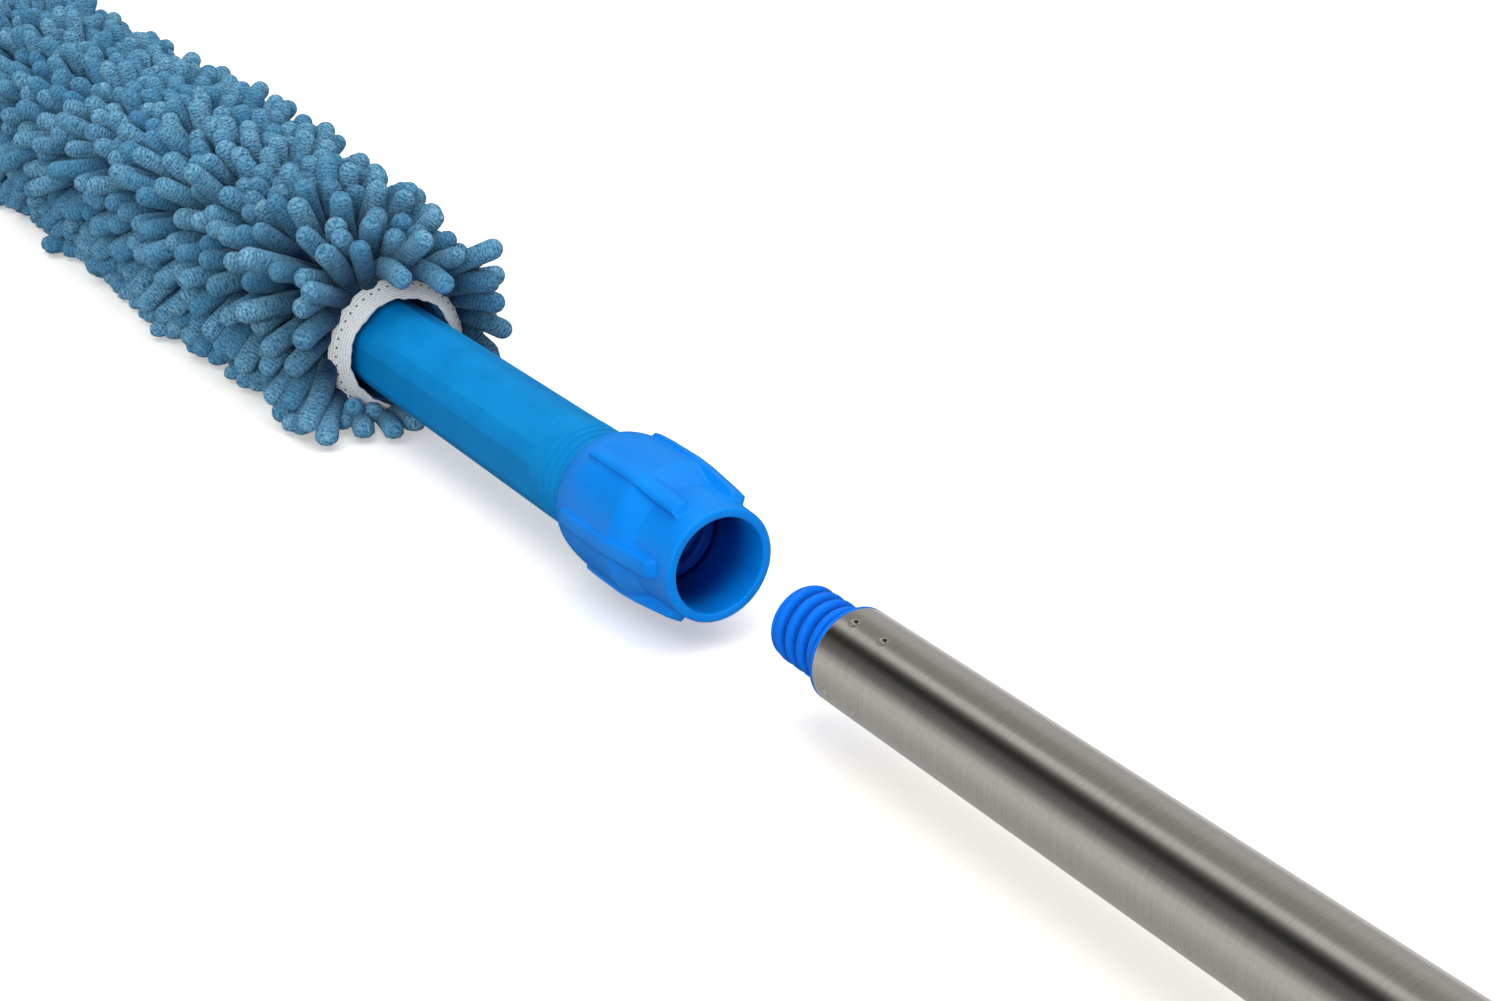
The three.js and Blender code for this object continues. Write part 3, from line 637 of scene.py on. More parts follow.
# %% [markdown]
# ## Cutting holes and joining
# A few turned pieces also have a slot, a cross hole or a lug. These come from a Boolean, the
# way a drill or a mill would cut them after turning, and the result is kept as a plain mesh.

# %% Helpers for cuts
SHARP_DEGREES = 32


def plain_mesh(name, shape):
    """A mesh from a BMesh, which is freed."""
    mesh = bpy.data.meshes.new(name)
    shape.to_mesh(mesh)
    shape.free()
    return mesh


def block(low, high):
    """A box between two corners given as stations, widths and heights in mm."""
    box = bmesh.new()
    bmesh.ops.create_cube(box, size=1)
    for vertex in box.verts:
        share = [c + 0.5 for c in vertex.co]
        vertex.co = spot(*(low[i] + (high[i] - low[i]) * share[i] for i in range(3)))
    return plain_mesh("block", box)


def cross_rod(station, radius, length):
    """A round rod through the axis, lying across the pole."""
    rod = bmesh.new()
    bmesh.ops.create_cone(rod, cap_ends=True, segments=48, radius1=radius * MM,
                          radius2=radius * MM, depth=length * MM,
                          matrix=Matrix.Rotation(math.pi / 2, 4, "X"))
    bmesh.ops.translate(rod, verts=rod.verts, vec=spot(station))
    return plain_mesh("rod", rod)


def combined(piece, meshes, operation="DIFFERENCE"):
    """Cuts meshes out of a piece, or joins them to it, and keeps a plain mesh."""
    for mesh in meshes:
        other = placed("tool", mesh)
        step = piece.modifiers.new("step", "BOOLEAN")
        step.object, step.operation, step.solver = other, operation, "EXACT"
        graph = bpy.context.evaluated_depsgraph_get()
        result = bpy.data.meshes.new_from_object(piece.evaluated_get(graph))
        piece.modifiers.clear()
        piece.data = result
        bpy.data.objects.remove(other)
    piece.data.shade_smooth()
    piece.data.set_sharp_from_angle(angle=math.radians(SHARP_DEGREES))


# %% [markdown]
# ## The handle
# The handle is a moulded tube, round near the collar with three fine grooves, then fluted:
# six flat faces begin with rounded corners and run back under the duster. A flat face on a
# round bar is a plane at a fixed distance from the axis, so its radius is that distance
# divided by the cosine of the angle from its middle.

# %% Handle
HANDLE_FRONT, HANDLE_BACK, HANDLE, HANDLE_BORE = -46.4, -226.0, 15.5, 12.4
GROOVES, GROOVE_HALF, GROOVE_DEPTH = (-61.6, -65.0, -68.4), 0.8, 0.95
FLUTE_FRONT, FLUTE_START, FLUTE_COUNT, FLUTE_SPREAD, FLUTE_CORNER = -75.4, 33.0, 6, 38.0, 3.0
CLIP_MIDDLE, CLIP_HALF, CLIP_SEAT = -51.4, 1.1, 14.1
PIN_STATION, PIN_HOLE = -203.0, 2.1
FLUTE_EDGE, FLUTE_RUN = 0.5, 1.5
FLUTE_ROWS, GROOVE_ROWS = (-84, -71), (-71, -59)


def handle_surface(stations, radii, angles):
    """Grooves, flat faces and the seat of the retaining clip."""
    outer = radii > HANDLE - SKIN
    half = math.radians(FLUTE_SPREAD / 2)
    offset = from_nearest(angles, FLUTE_COUNT, math.radians(FLUTE_START))
    offset = np.minimum(np.abs(offset), half)
    flat = HANDLE * math.cos(half) / np.cos(offset)
    over = np.maximum(HANDLE * np.sin(offset) - (HANDLE * math.sin(half) - FLUTE_CORNER), 0)
    ahead = np.maximum(stations - (FLUTE_FRONT - FLUTE_CORNER), 0)
    inside = smooth_step((FLUTE_CORNER - np.hypot(over, ahead)) / FLUTE_EDGE)
    behind = smooth_step((FLUTE_FRONT - FLUTE_CORNER - stations) / FLUTE_RUN)
    share = np.maximum(inside, behind) * (stations < FLUTE_FRONT)
    radii = np.where(outer, HANDLE + (flat - HANDLE) * share, radii)
    for middle in GROOVES:
        cut = round_groove(stations, middle, GROOVE_HALF, GROOVE_DEPTH)
        radii = np.where(outer, radii - cut, radii)
    return np.where(outer & (np.abs(stations - CLIP_MIDDLE) < CLIP_HALF), CLIP_SEAT, radii)


handle_outline = rounded([
    (HANDLE_BACK, HANDLE, 1.2), (-100, HANDLE, 0), (FLUTE_ROWS[0], HANDLE, 0),
    (GROOVE_ROWS[0], HANDLE, 0), (GROOVE_ROWS[1], HANDLE, 0), (HANDLE_FRONT, HANDLE, 0.4),
    (HANDLE_FRONT, HANDLE_BORE, 0.3), (HANDLE_BACK, HANDLE_BORE, 0.3)])
handle_rows = finer(finer(finer(handle_outline, 8), 0.35, *FLUTE_ROWS), 0.12, *GROOVE_ROWS)
handle_rows = finer(handle_rows, 0.5, GROOVE_ROWS[1], HANDLE_FRONT)
handle_tube = turned("handle_tube", handle_rows, 240, handle_surface, satin_blue, "handle",
                     node="grip_shell", slot="handle_blue")
combined(handle_tube, [cross_rod(PIN_STATION, PIN_HOLE, 60)])

# %% [markdown]
# ## The steel pole
# The outer tube is staked to the screw end: two rings of four dimples press its wall into
# grooves of the plastic plug. A dimple made by a round punch is a smooth hollow, deepest in
# the middle, with a faint rim thrown up round it.

# %% Outer tube with its dimples
TUBE_END, TUBE_BORE, DIMPLED_END = 618.0, 11.5, 80
DIMPLE_STATIONS, DIMPLE_START, DIMPLE_COUNT = (62.5, 73.5), 18.0, 4
DIMPLE_REACH, DIMPLE_DEPTH, RIM_HEIGHT, RIM_PLACE, RIM_WIDTH = 1.3, 0.6, 0.05, 1.14, 0.16


def dimples(stations, radii, angles):
    """Presses the dimples into the outer surface."""
    offset = from_nearest(angles, DIMPLE_COUNT, math.radians(DIMPLE_START))
    for station in DIMPLE_STATIONS:
        away = np.hypot(stations - station, TUBE_RADIUS * offset) / DIMPLE_REACH
        hollow = DIMPLE_DEPTH * np.clip(1 - away ** 2, 0, 1)
        rim = RIM_HEIGHT * np.exp(-((away - RIM_PLACE) / RIM_WIDTH) ** 2)
        radii = np.where(radii > TUBE_RADIUS - 0.3, radii - hollow + rim, radii)
    return radii


tube_outline = rounded([
    (TUBE_START, TUBE_RADIUS, 0.35), (DIMPLED_END, TUBE_RADIUS, 0),
    (TUBE_END, TUBE_RADIUS, 0.3), (TUBE_END, TUBE_BORE, 0.2), (TUBE_START, TUBE_BORE, 0.2)])
tube_rows = finer(finer(tube_outline, 30), 0.3, TUBE_START, DIMPLED_END)
turned("steel_tube", tube_rows, 240, dimples, tube_steel, "pole", node="outer_tube",
       slot="tube_steel")

# %% [markdown]
# ## The twist lock, the hand grip and the end cap
# These lie outside the photograph, so they follow the CAD and the style of the collar: the
# nut has twelve soft ribs for the fingers, and the grip three grooves like the handle's.

# %% Lock nut and collet
FLANGE_FRONT, FLANGE_BACK, JAW_START, JAW_END = 592.0, 600.0, 618.3, 636.3
FLANGE, COLLET, JAW_BORE, COLLET_BORE = 17.0, 15.0, 11.3, 12.8
NUT_FRONT, NUT_BACK, NUT_RADIUS, NUT_HOLLOW, CONE_START = 600.3, 641.6, 17.2, 15.3, 620.5
NUT_RIBS, NUT_RIB_HEIGHT, NUT_RIB_HALF, NUT_RIB_EDGE = 12, 0.7, 1.45, 0.75
NUT_RIB_ENDS, NUT_RIB_RUN = (602.9, 637.1), 1.2
SLIT_START, SLIT_HALF, SLIT_REACH = 621.9, 0.7, 20


def nut_ribs(stations, radii, angles):
    """Twelve low ribs with soft sides."""
    offset = np.abs(from_nearest(angles, NUT_RIBS)) * NUT_RADIUS
    side = smooth_step((NUT_RIB_HALF - offset) / NUT_RIB_EDGE)
    ends = between(stations, *NUT_RIB_ENDS, NUT_RIB_RUN)
    return np.where(radii > NUT_RADIUS - SKIN, radii + NUT_RIB_HEIGHT * side * ends, radii)


nut_outline = rounded([
    (NUT_FRONT, NUT_RADIUS, 0.6), (602, NUT_RADIUS, 0), (638, NUT_RADIUS, 0),
    (NUT_BACK - 1.9, NUT_RADIUS, 0.8), (NUT_BACK, NUT_HOLLOW, 0.8), (NUT_BACK, JAW_BORE, 0.3),
    (636.6, JAW_BORE, 0), (636.6, 13.1, 0), (CONE_START, 14.5, 0),
    (CONE_START, NUT_HOLLOW, 0), (NUT_FRONT, NUT_HOLLOW, 0.3)])
turned("lock_ring", finer(nut_outline, 0.8, 601, 639), 192, nut_ribs, gloss_blue, "lock_nut",
       node="lock_nut", slot="collar_blue")
collet_outline = rounded([
    (FLANGE_FRONT, FLANGE, 0.6), (FLANGE_BACK, FLANGE, 0.4), (FLANGE_BACK, COLLET, 0.2),
    (JAW_START, COLLET, 0.3), (CONE_START, 13.9, 0.3), (JAW_END, COLLET_BORE, 0.2),
    (JAW_END, JAW_BORE, 0.2), (JAW_START, JAW_BORE, 0), (JAW_START, COLLET_BORE, 0),
    (FLANGE_FRONT, COLLET_BORE, 0.3)])
collet = turned("collet", collet_outline, 96, None, screw_blue, "pole", node="lock_collet",
                slot="tip_blue")
combined(collet, [
    block((SLIT_START, -a, -b), (640, a, b))
    for a, b in ((SLIT_HALF, SLIT_REACH), (SLIT_REACH, SLIT_HALF))])

# %% Inner tube and hand grip
DRAW_START, DRAW_END, DRAW_RADIUS, DRAW_BORE = 98.0, 759.6, 11.0, 10.2
GRIP_FRONT, GRIP_BACK, GRIP, GRIP_BORE = 649.6, 759.6, 15.0, 11.3
GRIP_GROOVES, GRIP_GROOVE_HALF, GRIP_GROOVE_DEPTH = (657.6, 662.1, 666.6), 0.8, 0.6
GRIP_ROWS = (656, 669)


def grip_grooves(stations, radii, angles):
    """Three round-bottomed grooves near the front of the grip."""
    for middle in GRIP_GROOVES:
        cut = round_groove(stations, middle, GRIP_GROOVE_HALF, GRIP_GROOVE_DEPTH)
        radii = np.where(radii > GRIP - SKIN, radii - cut, radii)
    return radii


draw_outline = rounded([
    (DRAW_START, DRAW_RADIUS, 0.2), (DRAW_END, DRAW_RADIUS, 0.2), (DRAW_END, DRAW_BORE, 0.1),
    (DRAW_START, DRAW_BORE, 0.1)])
turned("draw_tube", finer(draw_outline, 40), 120, None, tube_steel, "inner_pole",
       node="inner_tube", slot="tube_steel")
grip_outline = rounded([
    (GRIP_FRONT, GRIP, 1.5), (GRIP_ROWS[0], GRIP, 0), (GRIP_ROWS[1], GRIP, 0),
    (GRIP_BACK, GRIP, 0.6), (GRIP_BACK, GRIP_BORE, 0.3), (GRIP_FRONT, GRIP_BORE, 0.3)])
turned("hand_sleeve", finer(grip_outline, 0.2, *GRIP_ROWS), 120, grip_grooves, satin_blue,
       "inner_pole", node="hand_grip", slot="handle_blue")

# %% End cap with its hanging lug
PLUG_FRONT, PLUG_FIT, END_FACE, DISC_BACK = 741.9, 9.9, 759.9, 763.9
LUG_TIP, LUG_RADIUS, LUG_HALF, LUG_EDGE, HANG_RADIUS = 788.9, 11.5, 3, 0.8, 4.5
LUG_CENTRE = LUG_TIP - LUG_RADIUS


def lug_mesh():
    """The hanging lug: a plate with a round end and softened edges."""
    rim = [(END_FACE + 2, -LUG_RADIUS)]
    rim += [(LUG_CENTRE + LUG_RADIUS * math.cos(t), LUG_RADIUS * math.sin(t))
            for t in np.linspace(-math.pi / 2, math.pi / 2, 33)]
    rim += [(END_FACE + 2, LUG_RADIUS)]
    plate = bmesh.new()
    front = plate.faces.new([plate.verts.new(spot(x, -LUG_HALF, z)) for x, z in rim])
    grown = bmesh.ops.extrude_face_region(plate, geom=[front])
    raised = [g for g in grown["geom"] if isinstance(g, bmesh.types.BMVert)]
    bmesh.ops.translate(plate, verts=raised, vec=Vector((0, 2 * LUG_HALF * MM, 0)))
    bmesh.ops.recalc_face_normals(plate, faces=plate.faces)
    edges = [e for e in plate.edges if abs(e.verts[0].co.y - e.verts[1].co.y) < 1e-7]
    bmesh.ops.bevel(plate, geom=edges, offset=LUG_EDGE * MM, segments=4, profile=0.5,
                    affect="EDGES")
    return plain_mesh("lug", plate)


cap_outline = rounded([
    (PLUG_FRONT, 0, 0), (PLUG_FRONT, PLUG_FIT, 0.6), (END_FACE, PLUG_FIT, 0),
    (END_FACE, GRIP, 0.4), (DISC_BACK, GRIP, 1.5), (DISC_BACK, 0, 0)], steps=5)
end_plug = turned("end_plug", cap_outline, 96, None, gloss_blue, "inner_pole",
                  node="end_cap", slot="collar_blue")
combined(end_plug, [lug_mesh()], "UNION")
combined(end_plug, [cross_rod(LUG_CENTRE, HANG_RADIUS, 20)])

# %% [markdown]
# ## Pieces hidden at rest
# The wand's foam sleeve shows once the cover is pulled off, so it is turned smooth and made of
# foam. The small fittings keep their CAD shape and only get their material.

# %% Foam sleeve, its cap and the small fittings
CORE_RADIUS, CORE_BACK, CORE_FRONT, WAND = 17.4, -641.7, -226.3, 4.3
CAP_DOME, WAND_SEAT, DOME_POINTS = 14, 8.3, 14
foam_outline = rounded([
    (CORE_BACK, CORE_RADIUS, 0.6), (CORE_FRONT, CORE_RADIUS, 1.4), (CORE_FRONT, WAND, 0.3),
    (CORE_BACK, WAND, 0.3)])
foam_sleeve = turned("foam_sleeve", finer(foam_outline, 12), 96, None, foam, "handle",
                     node="foam_core", slot="foam")
cap_tip, cap_front = ((corner.x - mouth_x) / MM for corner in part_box("core_cap"))
cap_outline = rounded([
    *quarter_round(cap_tip + CAP_DOME, cap_tip, 0, CORE_RADIUS, DOME_POINTS),
    (cap_front, CORE_RADIUS, 0.5), (cap_front, WAND, 0.3), (cap_front - WAND_SEAT, WAND, 0),
    (cap_front - WAND_SEAT, 0, 0)])
turned("nylon_cap", cap_outline, 96, None, nylon, "handle", node="core_cap", slot="nylon")

fittings = {
    "retaining_clip": wire_steel, "stem_pin": wire_steel, "thrust_washer": nylon,
    "stem_socket": nylon, "wand_stem": nylon, "inner_plug": nylon, "brake_ring": rubber}
for node, material in fittings.items():
    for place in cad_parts[node].material_slots:
        place.link = "OBJECT"
        place.material = material
print("fittings with their own finish:", len(fittings))

# %% [markdown]
# ## The pile
# The cover is a knitted sleeve with well over a thousand chenille fingers on it. Each is about
# 7.5 mm thick and 30 mm long. Those on top stand up and show only their round ends, those on
# the flanks hang down over each other like thatch, and a few at the mouth lean over the band.
# Placed by hand or at random they would pass through each other. Instead they are laid out
# straight and then settled: every finger is a short chain that keeps its length, resists
# bending, sags, and pushes its neighbours, the floor and the sleeve away.

# %% Roots of the fingers
SLEEVE, LINING, MOUTH_ROW, DOME_BASE, DOME_TIP = 21.4, 18.2, -201.2, -652.0, -670.0
DOME_DEPTH, DOME_ROWS = DOME_BASE - DOME_TIP, (7, 27, 48, 70, 90)
ROW_PITCH, TIP_PITCH, FINGER, END_BALL = 8.6, 8.7, 28.7, 3.6
SWELL_FRONT, SWELL_RUN, SWELL = -230, 120.0, 5.0
LINKS = 5
dice = np.random.default_rng(7)
CLUMP, STRAY, TURN_JITTER, ROW_JITTER = 0.34, 0.15, 0.22, 1.6
LEAST_SWAY, LEAST_LEAN = 0.25, 0.35
# At the mouth: the full rows and their share, the leans to choose from, row by row, and the
# fingers that are drawn over the band.
FULL_ROWS, FULL_SHARE = 2, 0.8
MOUTH_LEANS = ((0.5, 0.9), (0.4, 0.9), (0.3, 0.8), (0.1, 0.5))
UNDER_LEANS, SIDE_TURN, TOP_TURN = (0.1, 0.5, 0.95), 1.6, -0.2
OVER_BAND, OVER_REACH, OVER_PULL = np.radians((12, -10, -34)), 0.09, (1.4, 0, -0.6)
SAG, FLANK_SAG, FLANK_START, FLANK_RUN = -0.06, -0.24, 0.9, 0.7
# How far round the sleeve a root lies, the way its finger hangs, and the share kept there.
ROOT_TURNS = np.radians((0, 20, 38, 50, 64, 80, 98, 180))
HANG_TURNS = np.radians((0, 20, 60, 108, 130, 150, 170, 178))
KEPT_SHARES = np.array((1, 1, 1, 0.85, 0.75, 0.67, 0.45, 0.32))
SHORTEST, LONGEST, LONG_SHARE, LONG_STRETCH = 0.84, 1.1, 0.1, 1.16


def drift(along, turn, phase):
    """A slow wave over the cover between -1 and 1, so that neighbours lean alike."""
    first = math.sin(along / 7.3 + 2 * turn + phase) * math.cos(along / 15.1 - turn)
    second = math.sin(along / 4.4 - 3 * turn + 1.7 * phase)
    return 0.5 * first + 0.5 * second


def eased(value):
    """A smooth step of one number."""
    return float(smooth_step(np.array(value)))


def root_rows():
    """Station, radius and outward slope of every row, along the sleeve and over its dome."""
    count = int((MOUTH_ROW - DOME_BASE) / ROW_PITCH) + 1
    rows = [(MOUTH_ROW - i * ROW_PITCH, SLEEVE, 0.0) for i in range(count)]
    for turn in DOME_ROWS:
        t = math.radians(turn)
        slope = math.atan2(SLEEVE * math.sin(t), DOME_DEPTH * math.cos(t))
        rows.append((DOME_BASE - DOME_DEPTH * math.sin(t), SLEEVE * math.cos(t), slope))
    return rows


def grow_roots():
    """Root points, first directions, pulls and lengths of all the fingers, in millimetres."""
    roots, ways, pulls, lengths = [], [], [], []
    for number, (station, radius, slope) in enumerate(root_rows()):
        reach = FINGER + SWELL * eased((SWELL_FRONT - station) / SWELL_RUN)
        tip_ring = radius + reach * math.cos(slope)
        count = max(1, round(FULL_TURN * tip_ring / TIP_PITCH)) if slope < 1.5 else 1
        for k in range(count):
            jitter = dice.uniform(-TURN_JITTER, TURN_JITTER)
            turn = (k + 0.5 * (number % 2) + jitter) * FULL_TURN / count
            along = station + dice.uniform(-ROW_JITTER, ROW_JITTER) * (slope == 0)
            side = (turn + math.pi) % FULL_TURN - math.pi
            share = np.interp(abs(side), ROOT_TURNS, KEPT_SHARES)
            share = max(share, FULL_SHARE) if number < FULL_ROWS else share
            if dice.uniform(0, 1) > share and slope < 1.0:
                continue
            outward = np.array((0, -math.sin(turn), math.cos(turn)))
            hang = math.copysign(np.interp(abs(side), ROOT_TURNS, HANG_TURNS), side)
            sway = CLUMP * drift(along, turn, 0.0) + dice.normal(0, STRAY)
            hang += sway * max(LEAST_SWAY, math.cos(side))
            lean = CLUMP * drift(along, turn, 2.0) + dice.normal(0, STRAY)
            lean = lean * max(LEAST_LEAN, math.cos(side)) - slope
            if number < len(MOUTH_LEANS):
                over_top = eased(SIDE_TURN - abs(side - TOP_TURN))
                under = float(abs(side) > SIDE_TURN) * (number < FULL_ROWS)
                lean += over_top * dice.choice(MOUTH_LEANS[number]) + dice.normal(0, STRAY)
                lean += under * dice.choice(UNDER_LEANS)
            fallen = np.array((0, -math.sin(hang), math.cos(hang)))
            way = fallen * math.cos(lean) + np.array((math.sin(lean), 0, 0))
            roots.append(np.array((along, 0, 0)) + outward * radius)
            ways.append(way / np.linalg.norm(way))
            over = number == 0 and np.abs(side - OVER_BAND).min() < OVER_REACH
            sag = SAG + FLANK_SAG * eased((abs(side) - FLANK_START) / FLANK_RUN)
            pulls.append(OVER_PULL if over else (0, 0, sag))
            stretch = LONG_STRETCH if dice.uniform(0, 1) < LONG_SHARE else 1.0
            lengths.append(reach * dice.uniform(SHORTEST, LONGEST) * stretch)
    return np.array(roots), np.array(ways), np.array(pulls), np.array(lengths)


roots, ways, pulls, lengths = grow_roots()
print("fingers:", len(roots))

# %% Settling the fingers
ROUNDS, QUICK_ROUNDS = 80, 24
LINK_GIRTH = np.array((2.6, 3.1, 3.5, 3.75, 3.8, 3.9))
LINK_CURL = np.array((0, 0, 0.2, 0.6, 1.0, 1.2))
CURLED_SHARE, STRONG_CURL, WEAK_CURL, CURLING = 0.35, 0.6, 0.16, 0.8
CALM, CALM_START, CALM_RUN = 0.65, 0.6, 0.6
SEARCH, PUSH, LARGEST_MOVE, NESTLE = 7.8, 0.3, 1.6, 0.8
ROOT_STIFFNESS, STIFFNESS = 0.35, 0.28
FLOOR_GAP = 0.2
FLOOR = -axis_z / MM + FLOOR_GAP
# What the fingers can't sink into, along the axis: the dome, the sleeve, the band, the handle.
KEPT_OUT = ((DOME_BASE - 1, DOME_BASE, -198, -196, -190, -189),
            (0, SLEEVE, SLEEVE, 24.4, 19.5, HANDLE + 1))


def unit(vectors):
    """The vectors with a length of 1."""
    return vectors / np.linalg.norm(vectors, axis=-1, keepdims=True)


def neighbours(points, reach):
    """Pairs of points that may be closer than the reach, found in slabs along the axis."""
    order = np.argsort(points[:, 0])
    sorted_x = points[order, 0]
    last = np.searchsorted(sorted_x, sorted_x + reach, side="right")
    counts = last - np.arange(len(points)) - 1
    first = np.repeat(np.arange(len(points)), counts)
    steps = np.arange(counts.sum()) - np.repeat(np.cumsum(counts) - counts, counts)
    a, b = order[first], order[first + 1 + steps]
    for axis in (1, 2):
        near = np.abs(points[a, axis] - points[b, axis]) < reach
        a, b = a[near], b[near]
    return a, b


def push_apart(points, owner, girth):
    """Moves the points of different fingers away from each other where they overlap."""
    a, b = neighbours(points, SEARCH)
    apart = owner[a] != owner[b]
    a, b = a[apart], b[apart]
    gap = points[b] - points[a]
    distance = np.linalg.norm(gap, axis=1) + 1e-6
    overlap = girth[a] + girth[b] - distance
    hit = overlap > 0
    push = (gap[hit] / distance[hit, None]) * overlap[hit, None]
    moves = np.zeros_like(points)
    np.add.at(moves, a[hit], -PUSH * push)
    np.add.at(moves, b[hit], PUSH * push)
    return points + np.clip(moves, -LARGEST_MOVE, LARGEST_MOVE)


def settle(rounds):
    """Chains of points after they have pushed each other apart."""
    links = (lengths - END_BALL)[:, None] / LINKS
    shares = np.arange(LINKS + 1)[None, :, None]
    chains = roots[:, None, :] + ways[:, None, :] * links[:, :, None] * shares
    owner = np.repeat(np.arange(len(roots)), LINKS)
    girth = np.tile(LINK_GIRTH[1:], len(roots))
    bent = np.where(dice.uniform(0, 1, len(roots)) < CURLED_SHARE, STRONG_CURL, WEAK_CURL)
    curl = dice.normal(0, 1, (len(roots), 1, 3)) * bent[:, None, None]
    curl = curl * LINK_CURL[None, :, None]
    flank = np.arctan2(np.abs(roots[:, 1]), roots[:, 2])
    curl *= (1 - CALM * smooth_step((flank - CALM_START) / CALM_RUN))[:, None, None]
    for step in range(rounds):
        points = push_apart(chains[:, 1:].reshape(-1, 3), owner, girth)
        chains[:, 1:] = points.reshape(len(roots), LINKS, 3)
        chains += curl * (step < rounds * CURLING)
        chains[:, 2:] += pulls[:, None, :]
        radius = np.hypot(chains[:, :, 1], chains[:, :, 2])
        least = np.interp(chains[:, :, 0], *KEPT_OUT) + NESTLE * LINK_GIRTH[None, :]
        lift = np.maximum(least / np.maximum(radius, 1e-6), 1)
        chains[:, 1:, 1:] *= lift[:, 1:, None]
        chains[:, 1:, 2] = np.maximum(chains[:, 1:, 2], FLOOR + LINK_GIRTH[None, 1:])
        for k in range(1, LINKS + 1):
            back = chains[:, k - 1]
            straight = unit(ways if k == 1 else back - chains[:, k - 2])
            stiff = ROOT_STIFFNESS if k == 1 else STIFFNESS
            mixed = unit(chains[:, k] - back) * (1 - stiff) + straight * stiff
            chains[:, k] = back + unit(mixed) * links
    return chains


chains = settle(ROUNDS)
tip_radius = np.hypot(chains[:, -1, 1], chains[:, -1, 2]) + END_BALL
print(f"tips at {np.percentile(tip_radius, 5):.1f} to {np.percentile(tip_radius, 95):.1f} mm")

# %% [markdown]
# A chain of six points is too coarse for a soft bend, so each is read as a smooth curve, with
# four closer points at the end that make it round. Geometry Nodes then sweeps a round profile
# along all the curves at once. The girth at every point is an attribute, so one tree makes
# root, body and tip. Where a finger lies on the floor, its underside is pressed flat.

# %% Curves of the fingers
BODY_SHARES = np.array((0.0, 0.22, 0.45, 0.7, 0.95))
END_STEPS = np.array((1.6, 2.8, 3.5, 3.7))
GIRTHS = np.array((3.4, 3.55, 3.65, 3.65, 3.7, 3.35, 2.45, 1.2, 0.2))


def smooth_points(chain, shares):
    """Points of the chain at those shares of its length, on a Catmull-Rom curve."""
    count = chain.shape[1] - 1
    longer = np.concatenate([
        2 * chain[:, :1] - chain[:, 1:2], chain, 2 * chain[:, -1:] - chain[:, -2:-1]], 1)
    points = []
    for share in shares:
        at = min(share * count, count - 1e-6)
        i, t = int(at), at - int(at)
        p0, p1, p2, p3 = (longer[:, i + k] for k in range(4))
        points.append(0.5 * (2 * p1 + (p2 - p0) * t + (2 * p0 - 5 * p1 + 4 * p2 - p3) * t * t
                             + (3 * p1 - p0 - 3 * p2 + p3) * t ** 3))
    return np.stack(points, 1)


body_points = smooth_points(chains, BODY_SHARES)
ahead = unit(body_points[:, -1] - body_points[:, -2])
end_points = body_points[:, -1:] + ahead[:, None, :] * END_STEPS[None, :, None]
curves = np.concatenate([body_points, end_points], 1)
finger_size = dice.uniform(0.93, 1.05, len(curves))
finger_tint = dice.uniform(0, 1, len(curves))
steps = np.linalg.norm(np.diff(curves, axis=1), axis=2)
alongs = np.concatenate([np.zeros((len(curves), 1)), np.cumsum(steps, 1)], 1)
print(f"mean length {alongs[:, -1].mean():.1f} mm over {curves.shape[1]} points")

# %% Helpers for Geometry Nodes


def new_tree(name, **inputs):
    """A Geometry Nodes tree from geometry to geometry, and its inputs."""
    tree = bpy.data.node_groups.new(name, "GeometryNodeTree")
    for label, kind in (("Geometry", "Geometry"), *inputs.items()):
        tree.interface.new_socket(label, in_out="INPUT", socket_type="NodeSocket" + kind)
    tree.interface.new_socket("Geometry", in_out="OUTPUT", socket_type="NodeSocketGeometry")
    return tree, add(tree, "NodeGroupInput").outputs


def hand_out(tree, geometry, material):
    """Ends a tree: plain, smooth geometry in its material."""
    real = add(tree, "GeometryNodeRealizeInstances", {"Geometry": geometry})
    smooth = add(tree, "GeometryNodeSetShadeSmooth", {"Geometry": real.outputs[0]})
    painted = add(tree, "GeometryNodeSetMaterial", {
        "Geometry": smooth.outputs[0], "Material": material})
    add(tree, "NodeGroupOutput", {"Geometry": painted.outputs[0]})


def run_tree(name, mesh, tree, **values):
    """Runs a tree on a mesh and returns a new object with the plain result."""
    source = placed(name, mesh)
    modifier = source.modifiers.new("grow", "NODES")
    modifier.node_group = tree
    for item in tree.interface.items_tree:
        if item.in_out == "INPUT" and item.name in values:
            modifier[item.identifier] = values[item.name]
    graph = bpy.context.evaluated_depsgraph_get()
    plain = bpy.data.meshes.new_from_object(source.evaluated_get(graph))
    bpy.data.objects.remove(source)
    plain.name = name
    made = placed(name, plain)
    count_triangles(made)
    return made


# %% The tree that sweeps the fingers
FINGER_SIDES, PRESS_MM = 9, 3.5
fingers_tree, given = new_tree("chenille_fingers", Sides="Int", Press="Float",
                               Material="Material")
tree, press = fingers_tree, given["Press"]
path = add(tree, "GeometryNodeMeshToCurve", {"Mesh": given["Geometry"]})
ring = add(tree, "GeometryNodeCurvePrimitiveCircle", {
    "Resolution": given["Sides"], "Radius": 1.0})
girth = add(tree, "GeometryNodeInputNamedAttribute", {"Name": "girth"}, data_type="FLOAT")
swept = add(tree, "GeometryNodeCurveToMesh", {
    "Curve": path.outputs[0], "Profile Curve": ring.outputs[0],
    "Scale": girth.outputs[0], "Fill Caps": True})
